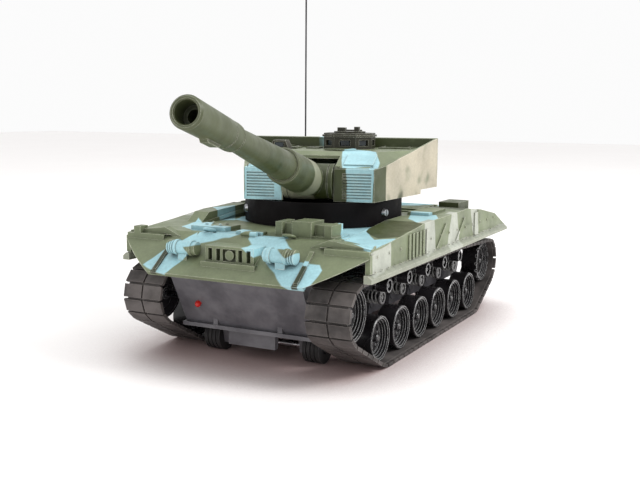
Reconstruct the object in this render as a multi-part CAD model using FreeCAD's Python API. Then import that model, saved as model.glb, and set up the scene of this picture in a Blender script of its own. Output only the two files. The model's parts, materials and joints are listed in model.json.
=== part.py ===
"""Radio-controlled toy battle tank, built as separate named pieces.

Units are millimetres.  The tank faces -Y, its left side is +X, and +Z is up.  The track pads
stand on Z = 0.  The model is drawn with Y = 0 near the turret ring and is moved along Y at the
end, so that the origin lies under the middle of the whole tank, gun included.  The turret and
the gun are drawn pointing straight ahead and level, then turned to their rest angles.
"""
import FreeCAD, Part
import math
import os

from FreeCAD import Vector

# Running gear
WHEEL_COUNT = 6
WHEEL_PITCH = 26.5
FIRST_WHEEL_Y = -66.0
WHEEL_R = 11.0
WHEEL_W = 10.0
WHEEL_OUTWARD = 1.5
DISH_DEPTH = 4.2
SPROCKET_DISH_DEPTH = 2.8
HUB_CAP_IN = 1.2
HUB_CAP_T = 1.2
IDLER_AHEAD = 29.5
IDLER_Z = 30.5
IDLER_R = 12.6
SPROCKET_BEHIND = 26.0
SPROCKET_Z = 28.0
SPROCKET_R = 12.2
ROLLER_COUNT = 5
ROLLER_PITCH = 25.7
FIRST_ROLLER_Y = -63.4
ROLLER_Z = 39.0
ROLLER_R = 3.25
ROLLER_W = 6.0
BELLY_WHEEL_R = 7.6
BELLY_WHEEL_W = 9.0
BELLY_WHEEL_X = 28.0
BELLY_WHEEL_LIFT = 0.4
FRONT_BELLY_Y = -76.0
REAR_BELLY_Y = 76.0

# Tracks
TRACK_GAP = 3.5
TRACK_W = 22.0
TRACK_CLEARANCE = 0.3
BELT_T = 1.0
PAD_H = 1.2
PAD_PITCH = 6.5
PAD_SHARE = 0.84
PAD_OVERHANG = 1.7
PAD_SPLIT = 1.0

# Pins and running fits
PIN_R = 1.0
IDLER_PIN_R = 1.5
ROLLER_PIN_R = 0.8
ROLLER_CAP = 2.4
PIN_FIT = 0.06
FACE_GAP = 0.3

# Lower hull
TUB_HALF_W = 36.0
TUB_WALL = 1.8
BELLY_Z = 16.7
NOSE_Z = 44.0
NOSE_AHEAD = 12.5
BELLY_FRONT_BEHIND = 2.5
TAIL_BEHIND = 14.5
TAIL_COVER = 3.0
BOSS_R = 2.6

# Upper hull
DECK_Z = 62.5
SHELL_T = 1.8
LIP_Z = 45.3
LIP_AHEAD = 22.0
LIP_HALF_W = 42.0
GLACIS_TOP_Y = -95.0
SKIRT_OUT = 4.5
SKIRT_FRONT_Y = -101.0
SKIRT_REAR_BEHIND = 12.5
SKIRT_BOTTOM_FRONT_Z = 46.8
SKIRT_BOTTOM_REAR_Z = 47.6
FENDER_CORNER_Z = 60.6
FENDER_TOP_Z = 67.2
SPONSON_IN = 22.0
FLANGE_OUT = 2.0
FLANGE_H = 3.6

# Turret ring and turret
RING_Y = -16.0
RING_HOLE_R = 27.0
RING_FIT = 0.4
DRUM_R = 42.5
DRUM_T = 1.6
DRUM_TOP_Z = 75.4
TURRET_BOTTOM_Z = 75.7
TURRET_WALL = 1.6
TURRET_FRONT = 35.0
TURRET_REAR = 42.0
TURRET_FRONT_HALF_W = 34.0
TURRET_CORNER_HALF_W = 38.0
TURRET_CORNER_B = -22.0
TURRET_REAR_HALF_W = 57.0
CHEEK_TOP_Z = 92.0
SIDE_FRONT_Z = 93.4
BEVEL = math.radians(40)
ROOF_Z = 100.0
ROOF_FRONT_B = -14.0
RIM_REAR_Z = 106.0
TURRET_REST_YAW = 14.0
RING_LIFT = 0.3
POST_R = 3.2
SLAT_COUNT = 9
CUPOLA_X = 9.5
CUPOLA_B = 23.0
CUPOLA_HALF = 13.5
CUPOLA_H = 8.7
SIGHT_X = -24.0
SIGHT_B = 0.0
DRUM_SCREW_ANGLES = (-120, -61, 61, 120)

# Gun
TRUNNION_AHEAD = 29.0
TRUNNION_Z = 85.2
TRUNNION_R = 1.6
MANTLET_R = 9.2
MANTLET_W = 25.6
MANTLET_GAP = 0.5
SLEEVE_R = 9.3
SLEEVE_END = 56.0
BARREL_ROOT_R = 7.0
BARREL_TIP_R = 4.7
MUZZLE_START = 127.0
MUZZLE_R = 6.0
MUZZLE_BORE_R = 4.15
GUN_LENGTH = 175.0
BARREL_BORE_R = 2.7
BARREL_BORE_DEPTH = 30.0
GUN_REST_ELEVATION = 11.8
SLEEVE_ROOT_R = 8.6

# Fittings
ANTENNA_R = 0.5
ANTENNA_LENGTH = 212.0
ANTENNA_X = -50.0
ANTENNA_Y = 56.0
ANTENNA_BASE_R = 3.2
ANTENNA_BASE_H = 6.0
LED_R = 1.5
LED_X = -24.7
LED_Z = 28.6
LAMP_R = 3.7
LAMP_L = 16.0
LAMP_X = 26.5
LAMP_UP = 8.7
SCREW_R = 1.2
SCREW_HEAD_R = 2.3
SCREW_HEAD_H = 1.4
SWITCH_X = 14.0
SWITCH_Y = 48.0
SWITCH_TRAVEL = 4.0
DOOR_W = 44.0
DOOR_L = 70.0
DOOR_Y = -8.0
DOOR_FIT = 0.2

# Inside
CELL_R = 7.0
CELL_L = 50.0
BOARD_LIFT = 16.5
SHAFT_R = 1.5
GEARBOX_W = 16.0
GEARBOX_L = 34.0
GEARBOX_H = 26.0
MOTOR_R = 7.8
MOTOR_L = 24.0

# Worked-out places
TRACK_IN_X = TUB_HALF_W + TRACK_GAP
TRACK_OUT_X = TRACK_IN_X + TRACK_W
TRACK_MID_X = (TRACK_IN_X + TRACK_OUT_X) / 2
WHEEL_OUT_X = TRACK_MID_X + WHEEL_W / 2 + WHEEL_OUTWARD
WHEEL_IN_X = WHEEL_OUT_X - WHEEL_W
BORE_END_X = WHEEL_OUT_X - HUB_CAP_IN - HUB_CAP_T
ROLLER_OUT_X = TRACK_OUT_X - 1.5
SKIRT_X = TRACK_OUT_X + SKIRT_OUT
SPONSON_X = SKIRT_X - SPONSON_IN
TRACK_T = TRACK_CLEARANCE + BELT_T + PAD_H
WHEEL_Z = WHEEL_R + TRACK_T
WHEEL_YS = [FIRST_WHEEL_Y + WHEEL_PITCH * i for i in range(WHEEL_COUNT)]
ROLLER_YS = [FIRST_ROLLER_Y + ROLLER_PITCH * i for i in range(ROLLER_COUNT)]
IDLER_Y = FIRST_WHEEL_Y - IDLER_AHEAD
SPROCKET_Y = WHEEL_YS[-1] + SPROCKET_BEHIND
BELLY_WHEEL_Z = BELLY_WHEEL_R + BELLY_WHEEL_LIFT
NOSE_Y = IDLER_Y - NOSE_AHEAD
BELLY_FRONT_Y = IDLER_Y + BELLY_FRONT_BEHIND
LIP_Y = IDLER_Y - LIP_AHEAD
TAIL_Y = SPROCKET_Y + TAIL_BEHIND
SKIRT_REAR_Y = SPROCKET_Y + SKIRT_REAR_BEHIND
DECK_UNDER = DECK_Z - SHELL_T
TAIL_SLOPE_Y = SPROCKET_Y - 8
GEARBOX_OUT_X = TUB_HALF_W - TUB_WALL
FLOOR_Z = BELLY_Z + TUB_WALL
BOARD_Z = FLOOR_Z + BOARD_LIFT
PIN_TIP_X = BORE_END_X - FACE_GAP
ARM_X = TUB_HALF_W + 2.6
LAMP_Y = LIP_Y + LAMP_UP
ANTENNA_Z = FENDER_TOP_Z - 1.2
GLACIS_SLOPE = (DECK_Z - LIP_Z) / (GLACIS_TOP_Y - LIP_Y)
GLACIS_ANGLE = math.degrees(math.atan(GLACIS_SLOPE))
RING = Vector(0, RING_Y, 0)
TRUNNION = Vector(0, RING_Y - TRUNNION_AHEAD, TRUNNION_Z)


def box(x0, x1, y0, y1, z0, z1):
    """A block between two corners."""
    return Part.makeBox(x1 - x0, y1 - y0, z1 - z0, Vector(x0, y0, z0))


def prism(points, start, push):
    """A prism: a closed outline of 3-D points, moved to start and pushed along a vector."""
    wire = Part.makePolygon([point + start for point in points + points[:1]])
    return Part.Face(wire).extrude(push)


def prism_x(outline, x0, x1):
    """A prism along X from an outline of (y, z) points."""
    points = [Vector(0, y, z) for y, z in outline]
    return prism(points, Vector(x0, 0, 0), Vector(x1 - x0, 0, 0))


def prism_y(outline, y0, y1):
    """A prism along Y from an outline of (x, z) points."""
    points = [Vector(x, 0, z) for x, z in outline]
    return prism(points, Vector(0, y0, 0), Vector(0, y1 - y0, 0))


def prism_z(outline, z0, z1):
    """A prism along Z from an outline of (x, y) points."""
    points = [Vector(x, y, 0) for x, y in outline]
    return prism(points, Vector(0, 0, z0), Vector(0, 0, z1 - z0))


def rod_x(radius, x0, x1, y, z):
    """A round rod along X."""
    return Part.makeCylinder(radius, x1 - x0, Vector(x0, y, z), Vector(1, 0, 0))


def rod_z(radius, x, y, z0, z1):
    """A round rod along Z."""
    return Part.makeCylinder(radius, z1 - z0, Vector(x, y, z0))


def turned_x(outline, y, z):
    """A body turned about an axis along X, from an outline of (x, radius) points."""
    points = [Vector(x, y, z + radius) for x, radius in outline]
    wire = Part.makePolygon(points + points[:1])
    return Part.Face(wire).revolve(Vector(0, y, z), Vector(1, 0, 0), 360)


def fused(shapes):
    """One solid from overlapping or touching shapes."""
    return shapes[0].multiFuse(shapes[1:]).removeSplitter()


def mirrored(shape):
    """The same shape on the other side of the tank."""
    return shape.mirror(Vector(0, 0, 0), Vector(1, 0, 0))


def both_sides(shape):
    """A shape and its mirror image as a group."""
    return Part.makeCompound([shape, mirrored(shape)])


def glacis_z(y):
    """The height of the glacis plate's outer face."""
    return LIP_Z + (y - LIP_Y) * GLACIS_SLOPE


# The track loop ---------------------------------------------------------------------------

def loop_circles():
    """The circles that the belt goes round, as (y, z, radius), counter-clockwise from +X."""
    return [
        (IDLER_Y, IDLER_Z, IDLER_R),
        (WHEEL_YS[0], WHEEL_Z, WHEEL_R),
        (WHEEL_YS[-1], WHEEL_Z, WHEEL_R),
        (SPROCKET_Y, SPROCKET_Z, SPROCKET_R),
        (ROLLER_YS[-1], ROLLER_Z, ROLLER_R),
    ]


def outward_normal(first, second):
    """The outward unit normal (angle) of the line that touches two circles."""
    dy = second[0] - first[0]
    dz = second[1] - first[1]
    along = math.atan2(dz, dy)
    lean = math.asin((first[2] - second[2]) / math.hypot(dy, dz))
    return along - math.pi / 2 + lean


def loop_pieces():
    """The loop as straight runs and arcs: (kind, length, data) in order."""
    circles = loop_circles()
    count = len(circles)
    normals = [outward_normal(circles[i], circles[(i + 1) % count]) for i in range(count)]
    pieces = []
    for i in range(count):
        here, after = circles[i], circles[(i + 1) % count]
        angle = normals[i]
        run = math.sqrt((after[0] - here[0]) ** 2 + (after[1] - here[1]) ** 2
                        - (after[2] - here[2]) ** 2)
        pieces.append(("line", run, here, angle, angle + math.pi / 2))
        turn = (normals[(i + 1) % count] - angle) % (2 * math.pi)
        pieces.append(("arc", turn * after[2], after, angle, turn))
    return pieces


LOOP = loop_pieces()
LOOP_LENGTH = sum(piece[1] for piece in LOOP)


def piece_point(piece, travel, offset):
    """The (y, z) point at a distance along one piece of the loop, moved outwards by an offset."""
    kind, _, circle, angle, last = piece
    y, z, radius = circle
    if kind == "line":
        y += travel * math.cos(last)
        z += travel * math.sin(last)
    else:
        angle += travel / radius
    reach = radius + offset
    return y + reach * math.cos(angle), z + reach * math.sin(angle)


def loop_point(distance, offset):
    """The (y, z) point at a distance along the loop, moved outwards by an offset."""
    left = distance % LOOP_LENGTH
    for piece in LOOP:
        if left <= piece[1]:
            return piece_point(piece, left, offset)
        left -= piece[1]
    return piece_point(LOOP[0], 0.0, offset)


def loop_wire(offset, x):
    """The loop as a closed wire of lines and arcs at an offset."""
    edges = []
    for piece in LOOP:
        ends = [piece_point(piece, piece[1] * share, offset) for share in (0.0, 0.5, 1.0)]
        points = [Vector(x, y, z) for y, z in ends]
        if piece[0] == "line":
            edges.append(Part.LineSegment(points[0], points[2]).toShape())
        else:
            edges.append(Part.Arc(*points).toShape())
    return Part.Wire(Part.__sortEdges__(edges))


def loop_ring(inner, outer, x0, x1):
    """A ring that follows the loop between two offsets."""
    solids = []
    for offset in (outer, inner):
        face = Part.Face(loop_wire(offset, x0))
        solids.append(face.extrude(Vector(x1 - x0, 0, 0)))
    return solids[0].cut(solids[1])


def track():
    """One rubber track: a belt with two rows of pads that overhang its edges."""
    belt_in = TRACK_CLEARANCE
    belt_out = TRACK_CLEARANCE + BELT_T
    belt = loop_ring(belt_in, belt_out, TRACK_IN_X + PAD_OVERHANG, TRACK_OUT_X - PAD_OVERHANG)
    count = round(LOOP_LENGTH / PAD_PITCH)
    pitch = LOOP_LENGTH / count
    half = pitch * PAD_SHARE / 2
    root = belt_in + BELT_T / 2
    rows = [(TRACK_IN_X, TRACK_MID_X - PAD_SPLIT / 2), (TRACK_MID_X + PAD_SPLIT / 2, TRACK_OUT_X)]
    pads = []
    for i in range(count):
        centre = pitch * (i + 0.5)
        outline = [
            loop_point(centre - half, root),
            loop_point(centre + half, root),
            loop_point(centre + half, belt_out + PAD_H),
            loop_point(centre - half, belt_out + PAD_H),
        ]
        pads += [prism_x(outline, x0, x1) for x0, x1 in rows]
    return belt.multiFuse(pads)


# Wheels -----------------------------------------------------------------------------------

def wheel_blank(radius, inner_x, outer_x, dish, y, z):
    """A wheel with a ribbed conical dish and a low hub cap outside, and a plain recess inside."""
    rim = radius - 0.7
    disc = radius * 0.66
    cap_x = outer_x - HUB_CAP_IN
    bore_x = cap_x - HUB_CAP_T
    steps = 4
    outline = [(inner_x, PIN_R + 2.0), (inner_x, PIN_R), (bore_x, PIN_R), (bore_x, 0.0)]
    outline += [(cap_x, 0.0), (cap_x, 1.1), (cap_x - 0.6, 1.7), (bore_x - 0.2, 1.7)]
    outline += [(outer_x - dish, 2.4), (outer_x - dish, disc)]
    for i in range(steps):
        low = disc + (rim - disc) * i / steps
        high = disc + (rim - disc) * (i + 1) / steps
        depth = dish * (1 - (i + 0.5) / steps)
        outline += [(outer_x - depth, low), (outer_x - depth, high - 0.3)]
        outline += [(outer_x - depth - 0.3, high - 0.3), (outer_x - depth - 0.3, high)]
    outline += [(outer_x, rim), (outer_x, radius - 0.3), (outer_x - 0.3, radius)]
    outline += [(inner_x + 0.3, radius), (inner_x, radius - 0.3), (inner_x, rim - 0.8)]
    outline += [(inner_x + 2.5, disc), (inner_x + 2.5, PIN_R + 2.0)]
    return turned_x(outline, y, z)


def bored(wheel, pin_radius, inner_x, end_x, y, z):
    """A wheel with its blind bore opened out to a running fit on a pin."""
    return wheel.cut(rod_x(pin_radius + PIN_FIT, inner_x - 1, end_x, y, z))


def road_wheel(y):
    """One road wheel on the left side."""
    wheel = wheel_blank(WHEEL_R, WHEEL_IN_X, WHEEL_OUT_X, DISH_DEPTH, y, WHEEL_Z)
    return bored(wheel, PIN_R, WHEEL_IN_X, BORE_END_X, y, WHEEL_Z)


def idler():
    """The front idler on the left side."""
    wheel = wheel_blank(IDLER_R, WHEEL_IN_X, WHEEL_OUT_X, DISH_DEPTH, IDLER_Y, IDLER_Z)
    return bored(wheel, IDLER_PIN_R, WHEEL_IN_X, BORE_END_X, IDLER_Y, IDLER_Z)


def sprocket():
    """The rear drive sprocket on the left side, with its stub shaft and notched rim."""
    y, z = SPROCKET_Y, SPROCKET_Z
    wheel = wheel_blank(SPROCKET_R, WHEEL_IN_X, WHEEL_OUT_X, SPROCKET_DISH_DEPTH, y, z)
    notches = []
    for i in range(16):
        notch = rod_x(0.9, WHEEL_OUT_X - 1.2, WHEEL_OUT_X + 1, y, z + SPROCKET_R - 0.5)
        notch.rotate(Vector(0, y, z), Vector(1, 0, 0), 360 / 16 * i)
        notches.append(notch)
    shaft = rod_x(SHAFT_R, GEARBOX_OUT_X - 6, BORE_END_X, y, z)
    return fused([wheel.cut(Part.makeCompound(notches)), shaft])


def roller(y):
    """One return roller on the left side."""
    outer = ROLLER_OUT_X
    inner = outer - ROLLER_W
    rim = ROLLER_R - 0.7
    outline = [(inner, 0.0), (outer - 0.5, 0.0), (outer - 0.5, 0.9), (outer - 1.6, 0.9)]
    outline += [(outer - 1.6, rim), (outer, rim), (outer, ROLLER_R), (inner, ROLLER_R)]
    wheel = turned_x(outline, y, ROLLER_Z)
    return bored(wheel, ROLLER_PIN_R, inner, outer - ROLLER_CAP, y, ROLLER_Z)


def belly_wheel(y):
    """One hidden carrying wheel under the belly, with a grooved tyre."""
    x0 = BELLY_WHEEL_X - BELLY_WHEEL_W / 2
    x1 = BELLY_WHEEL_X + BELLY_WHEEL_W / 2
    wheel = rod_x(BELLY_WHEEL_R, x0, x1, y, BELLY_WHEEL_Z)
    grooves = []
    for i in range(3):
        x = x0 + BELLY_WHEEL_W * (i + 1) / 4
        ring = rod_x(BELLY_WHEEL_R + 1, x - 0.4, x + 0.4, y, BELLY_WHEEL_Z)
        core = rod_x(BELLY_WHEEL_R - 0.6, x - 0.5, x + 0.5, y, BELLY_WHEEL_Z)
        grooves.append(ring.cut(core))
    wheel = wheel.cut(Part.makeCompound(grooves))
    return wheel.cut(rod_x(IDLER_PIN_R + PIN_FIT, x0 - 1, x1 + 1, y, BELLY_WHEEL_Z))


# Pins and axles ---------------------------------------------------------------------------

def stub_pin(radius, y, z, tip_x):
    """A pin pressed through the tub's side wall, with a head inside."""
    inside = TUB_HALF_W - TUB_WALL
    pin = rod_x(radius, inside - 1.0, tip_x, y, z)
    head = rod_x(radius + 1.0, inside - 1.0, inside, y, z)
    return pin.fuse(head)


def wheel_pins():
    """The steel pins of the road wheels, the idlers and the return rollers, on both sides."""
    pins = [rod_x(PIN_R, TUB_HALF_W, PIN_TIP_X, y, WHEEL_Z) for y in WHEEL_YS]
    pins.append(rod_x(IDLER_PIN_R, TUB_HALF_W - TUB_WALL, PIN_TIP_X, IDLER_Y, IDLER_Z))
    roller_tip = ROLLER_OUT_X - ROLLER_CAP - FACE_GAP
    pins += [stub_pin(ROLLER_PIN_R, y, ROLLER_Z, roller_tip) for y in ROLLER_YS]
    return both_sides(Part.makeCompound(pins))


def belly_axles():
    """Two steel axles across the belly, with end caps that keep their wheels on."""
    reach = BELLY_WHEEL_X + BELLY_WHEEL_W / 2 + FACE_GAP + 1.0
    axles = []
    for y in (FRONT_BELLY_Y, REAR_BELLY_Y):
        rod = rod_x(IDLER_PIN_R, -reach, reach, y, BELLY_WHEEL_Z)
        cap = rod_x(IDLER_PIN_R + 1.2, reach - 1.0, reach, y, BELLY_WHEEL_Z)
        axles.append(fused([rod, cap, mirrored(cap)]))
    return Part.makeCompound(axles)


# Lower hull -------------------------------------------------------------------------------

def tub_outline(inset):
    """The tub's side outline; when moved in by a wall thickness it is open at the top."""
    lean = inset * 1.15
    front = BELLY_FRONT_Y + lean
    rear = TAIL_Y - lean
    low = BELLY_Z + inset
    outline = [(front, low), (TAIL_Y - 3 - lean, low), (rear, BELLY_Z + 5),
               (rear, DECK_UNDER - 12), (rear - 2, DECK_UNDER - 5.6), (TAIL_SLOPE_Y, DECK_UNDER)]
    nose_run = NOSE_Y + 0.5 - BELLY_FRONT_Y
    if inset:
        top = DECK_UNDER + 20
        nose = front + nose_run * (top - low) / (NOSE_Z - BELLY_Z)
        return outline + [(TAIL_SLOPE_Y, top), (nose, top)]
    return outline + [(GLACIS_TOP_Y + 4, DECK_UNDER), (BELLY_FRONT_Y + nose_run, NOSE_Z)]


def arm_bracket(y):
    """A swing-arm shape on the tub's side that carries one road-wheel pin."""
    x0 = TUB_HALF_W - TUB_WALL
    foot = rod_x(BOSS_R, TUB_HALF_W, ARM_X, y, WHEEL_Z)
    head = rod_x(BOSS_R + 0.6, x0, ARM_X, y + 5, FLOOR_Z + 5)
    bar = prism_x([(y - 2, WHEEL_Z), (y + 2, WHEEL_Z - 1.5), (y + 7.5, FLOOR_Z + 5),
                   (y + 2.5, FLOOR_Z + 6)], TUB_HALF_W, ARM_X - 0.4)
    return [foot, head, bar]


def belly_bracket(y):
    """Two hangers under the belly that hold one axle of the hidden wheels."""
    x1 = BELLY_WHEEL_X - BELLY_WHEEL_W / 2 - FACE_GAP
    outline = [(y - 6, FLOOR_Z), (y + 6, FLOOR_Z), (y + 3.2, BELLY_WHEEL_Z - 3),
               (y - 3.2, BELLY_WHEEL_Z - 3)]
    hanger = prism_x(outline, x1 - 3, x1)
    return [hanger, mirrored(hanger)]


def lower_hull():
    """The grey tub with its nose plate, swing arms, belly hangers, posts and openings."""
    tub = prism_x(tub_outline(0), -TUB_HALF_W, TUB_HALF_W)
    inside = TUB_HALF_W - TUB_WALL
    tub = tub.cut(prism_x(tub_outline(TUB_WALL), -inside, inside))
    extras = []
    for y in WHEEL_YS:
        arm = arm_bracket(y)
        extras += arm + [mirrored(shape) for shape in arm]
    for y in (FRONT_BELLY_Y, REAR_BELLY_Y):
        extras += belly_bracket(y)
    extras += [rod_z(3.0, x, y, BELLY_Z, DECK_UNDER - 0.4) for x, y in screw_places()]
    extras += front_ledge() + battery_walls()
    hull = tub.multiFuse(extras)
    holes = [rod_x(PIN_R, -ARM_X - 1, ARM_X + 1, y, WHEEL_Z) for y in WHEEL_YS]
    holes += [rod_x(ROLLER_PIN_R, -ARM_X, ARM_X, y, ROLLER_Z) for y in ROLLER_YS]
    holes.append(rod_x(IDLER_PIN_R, -ARM_X, ARM_X, IDLER_Y, IDLER_Z))
    holes.append(rod_x(SHAFT_R + RING_FIT, -ARM_X, ARM_X, SPROCKET_Y, SPROCKET_Z))
    for y in (FRONT_BELLY_Y, REAR_BELLY_Y):
        holes.append(rod_x(IDLER_PIN_R, -ARM_X, ARM_X, y, BELLY_WHEEL_Z))
    holes.append(led_red())
    holes += [rod_z(SCREW_R, x, y, BELLY_Z - 1, DECK_UNDER) for x, y in screw_places()]
    holes.append(box(-DOOR_W / 2, DOOR_W / 2, DOOR_Y - DOOR_L / 2, DOOR_Y + DOOR_L / 2,
                     BELLY_Z - 1, BELLY_Z + 1.0))
    lip = 3.0
    holes.append(box(-DOOR_W / 2 + lip, DOOR_W / 2 - lip, DOOR_Y - DOOR_L / 2 + lip,
                     DOOR_Y + DOOR_L / 2 - lip, BELLY_Z - 1, FLOOR_Z + 1))
    holes.append(switch_window())
    return hull.cut(Part.makeCompound(holes)).removeSplitter()


def front_ledge():
    """The low ledge across the nose, its two upright tabs and the tongue plate below it."""
    y = BELLY_FRONT_Y
    ledge = box(-TUB_HALF_W - 1, TUB_HALF_W + 1, y - 2.5, y + 4, BELLY_Z - 1.0, BELLY_Z + 0.8)
    tabs = [box(x - 1.2, x + 1.2, y - 2.0, y + 1.5, BELLY_Z, BELLY_Z + 4) for x in (-18, 18)]
    tongue = box(-13, 13, y + 2, y + 5, BELLY_Z - 8.8, BELLY_Z)
    return [ledge, tongue] + tabs


def screw_places():
    """The (x, y) places of the screws that hold the two hull halves together."""
    x = TUB_HALF_W - TUB_WALL - 3.4
    ys = (BELLY_FRONT_Y + 37, WHEEL_YS[-1] - 38.5)
    return [(side * x, y) for side in (-1, 1) for y in ys]


def hull_screws():
    """The screws that hold the hull halves together, driven in from below."""
    screws = []
    for x, y in screw_places():
        shank = rod_z(SCREW_R, x, y, BELLY_Z, BELLY_Z + 22)
        head = rod_z(SCREW_HEAD_R, x, y, BELLY_Z - SCREW_HEAD_H, BELLY_Z)
        cross = [box(x - 1.5, x + 1.5, y - 0.25, y + 0.25, BELLY_Z - 2, BELLY_Z - 0.7),
                 box(x - 0.25, x + 0.25, y - 1.5, y + 1.5, BELLY_Z - 2, BELLY_Z - 0.7)]
        screws.append(shank.fuse(head).cut(Part.makeCompound(cross)))
    return Part.makeCompound(screws)


def battery_door():
    """The battery cover, set flush in the belly."""
    gap = DOOR_FIT
    y0, y1 = DOOR_Y - DOOR_L / 2 + gap, DOOR_Y + DOOR_L / 2 - gap
    door = box(-DOOR_W / 2 + gap, DOOR_W / 2 - gap, y0, y1, BELLY_Z, BELLY_Z + 1.0)
    ribs = [box(-DOOR_W / 2 + 6, DOOR_W / 2 - 6, y1 - 6 - 3 * i, y1 - 5 - 3 * i,
                BELLY_Z - 0.4, BELLY_Z) for i in range(4)]
    return fused([door] + ribs)


def battery_cells():
    """Four round cells side by side between the walls, just above the door."""
    cells = []
    for i in range(4):
        x = (i - 1.5) * (2 * CELL_R + 0.2)
        start = Vector(x, DOOR_Y - CELL_L / 2, FLOOR_Z + CELL_R)
        can = Part.makeCylinder(CELL_R, CELL_L - 1.5, start, Vector(0, 1, 0))
        tip = Part.makeCylinder(2.4, 1.5, start + Vector(0, CELL_L - 1.5, 0), Vector(0, 1, 0))
        cells.append(can.fuse(tip))
    return Part.makeCompound(cells)


def battery_walls():
    """The walls moulded on the tub's floor round the cells; the end walls carry the board."""
    y0 = DOOR_Y - CELL_L / 2 - 1.5
    y1 = DOOR_Y + CELL_L / 2 + 1.5
    half = 2 * CELL_R + CELL_R * 2 + 1.5
    sides = [box(x - 0.8, x + 0.8, y0 - 1, y1 + 1, BELLY_Z + 1, FLOOR_Z + 10) for x in (-half, half)]
    ends = [box(-half, half, y - 1, y + 1, BELLY_Z + 1, BOARD_Z) for y in (y0, y1)]
    return sides + ends


def circuit_board():
    """The receiver board on the battery's end walls, with a few parts on it."""
    z = BOARD_Z
    reach = CELL_L / 2 + 2.5
    plate = box(-24, 24, DOOR_Y - reach, DOOR_Y + reach, z, z + 1.6)
    top = z + 1.6
    chips = [box(-12, -2, DOOR_Y - 20, DOOR_Y - 4, top, top + 2.4),
             box(6, 14, DOOR_Y - 10, DOOR_Y - 2, top, top + 5.4),
             box(-20, -15, DOOR_Y + 8, DOOR_Y + 18, top, top + 3.4),
             rod_z(3, 16, DOOR_Y + 10, top, top + 8)]
    return fused([plate] + chips)


def gearboxes():
    """The two closed gearboxes beside the sprocket shafts, standing on the tub's floor."""
    x1 = GEARBOX_OUT_X - 0.3
    y0, y1 = SPROCKET_Y - GEARBOX_L + 7, SPROCKET_Y + 7
    case = box(x1 - GEARBOX_W, x1, y0, y1, FLOOR_Z, FLOOR_Z + GEARBOX_H)
    tail_cut = prism_x([(TAIL_Y - 14, FLOOR_Z - 1), (TAIL_Y, FLOOR_Z - 1),
                        (TAIL_Y, BELLY_Z + 18)], x1 - GEARBOX_W - 1, x1 + 1)
    bore = rod_x(SHAFT_R + PIN_FIT, x1 - 8, x1 + 1, SPROCKET_Y, SPROCKET_Z)
    return both_sides(case.cut(tail_cut).cut(bore))


def drive_motors():
    """Two small cylindrical motors in front of the gearboxes."""
    x1 = GEARBOX_OUT_X - 0.3
    y = SPROCKET_Y - GEARBOX_L + 7
    axis = Vector(x1 - GEARBOX_W / 2, y - MOTOR_L, FLOOR_Z + MOTOR_R + 3)
    can = Part.makeCylinder(MOTOR_R, MOTOR_L, axis, Vector(0, 1, 0))
    cap = Part.makeCylinder(2.5, 1.5, axis - Vector(0, 1.5, 0), Vector(0, 1, 0))
    foot = box(axis.x - 3, axis.x + 3, y - MOTOR_L + 4, y - 2, FLOOR_Z, FLOOR_Z + 5)
    return both_sides(fused([can, cap, foot]))


def led_red():
    """The red lamp in the nose plate: a short rod with a round end, square to the plate."""
    dy = BELLY_FRONT_Y - (NOSE_Y + 0.5)
    dz = NOSE_Z - BELLY_Z
    out = Vector(0, -dz, -dy)
    out.normalize()
    share = (LED_Z - BELLY_Z) / dz
    face = Vector(LED_X, BELLY_FRONT_Y - dy * share, LED_Z)
    stem = Part.makeCylinder(LED_R, 6, face - out * 5, out)
    return stem.fuse(Part.makeSphere(LED_R, face + out))


def spring_units():
    """The spring barrels between the wheels: ribbed coils with round outer caps."""
    units = []
    z = (ROLLER_Z + WHEEL_Z + WHEEL_R) / 2 - 1.2
    x1 = TRACK_MID_X + 1.5
    for i in range(WHEEL_COUNT - 1):
        y = (WHEEL_YS[i] + WHEEL_YS[i + 1]) / 2
        outline = [(TUB_HALF_W, 0.0), (TUB_HALF_W, 3.6), (TUB_HALF_W + 2.0, 3.6)]
        x = TUB_HALF_W + 2.0
        turn = (x1 - 3.0 - x) / 6
        for k in range(6):
            outline += [(x + turn * k, 2.5), (x + turn * (k + 0.35), 3.5)]
            outline += [(x + turn * (k + 0.65), 3.5), (x + turn * (k + 1), 2.5)]
        outline += [(x1 - 3.0, 3.9), (x1 - 0.6, 3.9), (x1, 3.2), (x1, 0.0)]
        units.append(turned_x(outline, y, z))
    return both_sides(Part.makeCompound(units))


# Upper hull -------------------------------------------------------------------------------

def sponson_top():
    """The outer top edge of a side sponson as (y, z) points from front to rear."""
    return [
        (SKIRT_FRONT_Y, FENDER_CORNER_Z),
        (GLACIS_TOP_Y + 32, FENDER_TOP_Z - 3.8),
        (RING_Y - 18, FENDER_TOP_Z - 1.0),
        (RING_Y + 49, FENDER_TOP_Z),
        (WHEEL_YS[-1] - 10, FENDER_TOP_Z - 2.6),
        (SKIRT_REAR_Y - 20, FENDER_TOP_Z - 7.6),
        (SKIRT_REAR_Y, SKIRT_BOTTOM_REAR_Z + FLANGE_H),
    ]


def sponson_outline(drop, inset):
    """A closed side outline of the sponson, lowered and shortened for its hollow."""
    top = [(y, z - drop) for y, z in sponson_top()]
    top[0] = (top[0][0] + inset, top[0][1])
    top[-1] = (top[-1][0] - inset, top[-1][1])
    return [(top[0][0], SKIRT_BOTTOM_FRONT_Z - inset), *top,
            (top[-1][0], SKIRT_BOTTOM_REAR_Z - inset)]


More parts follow.
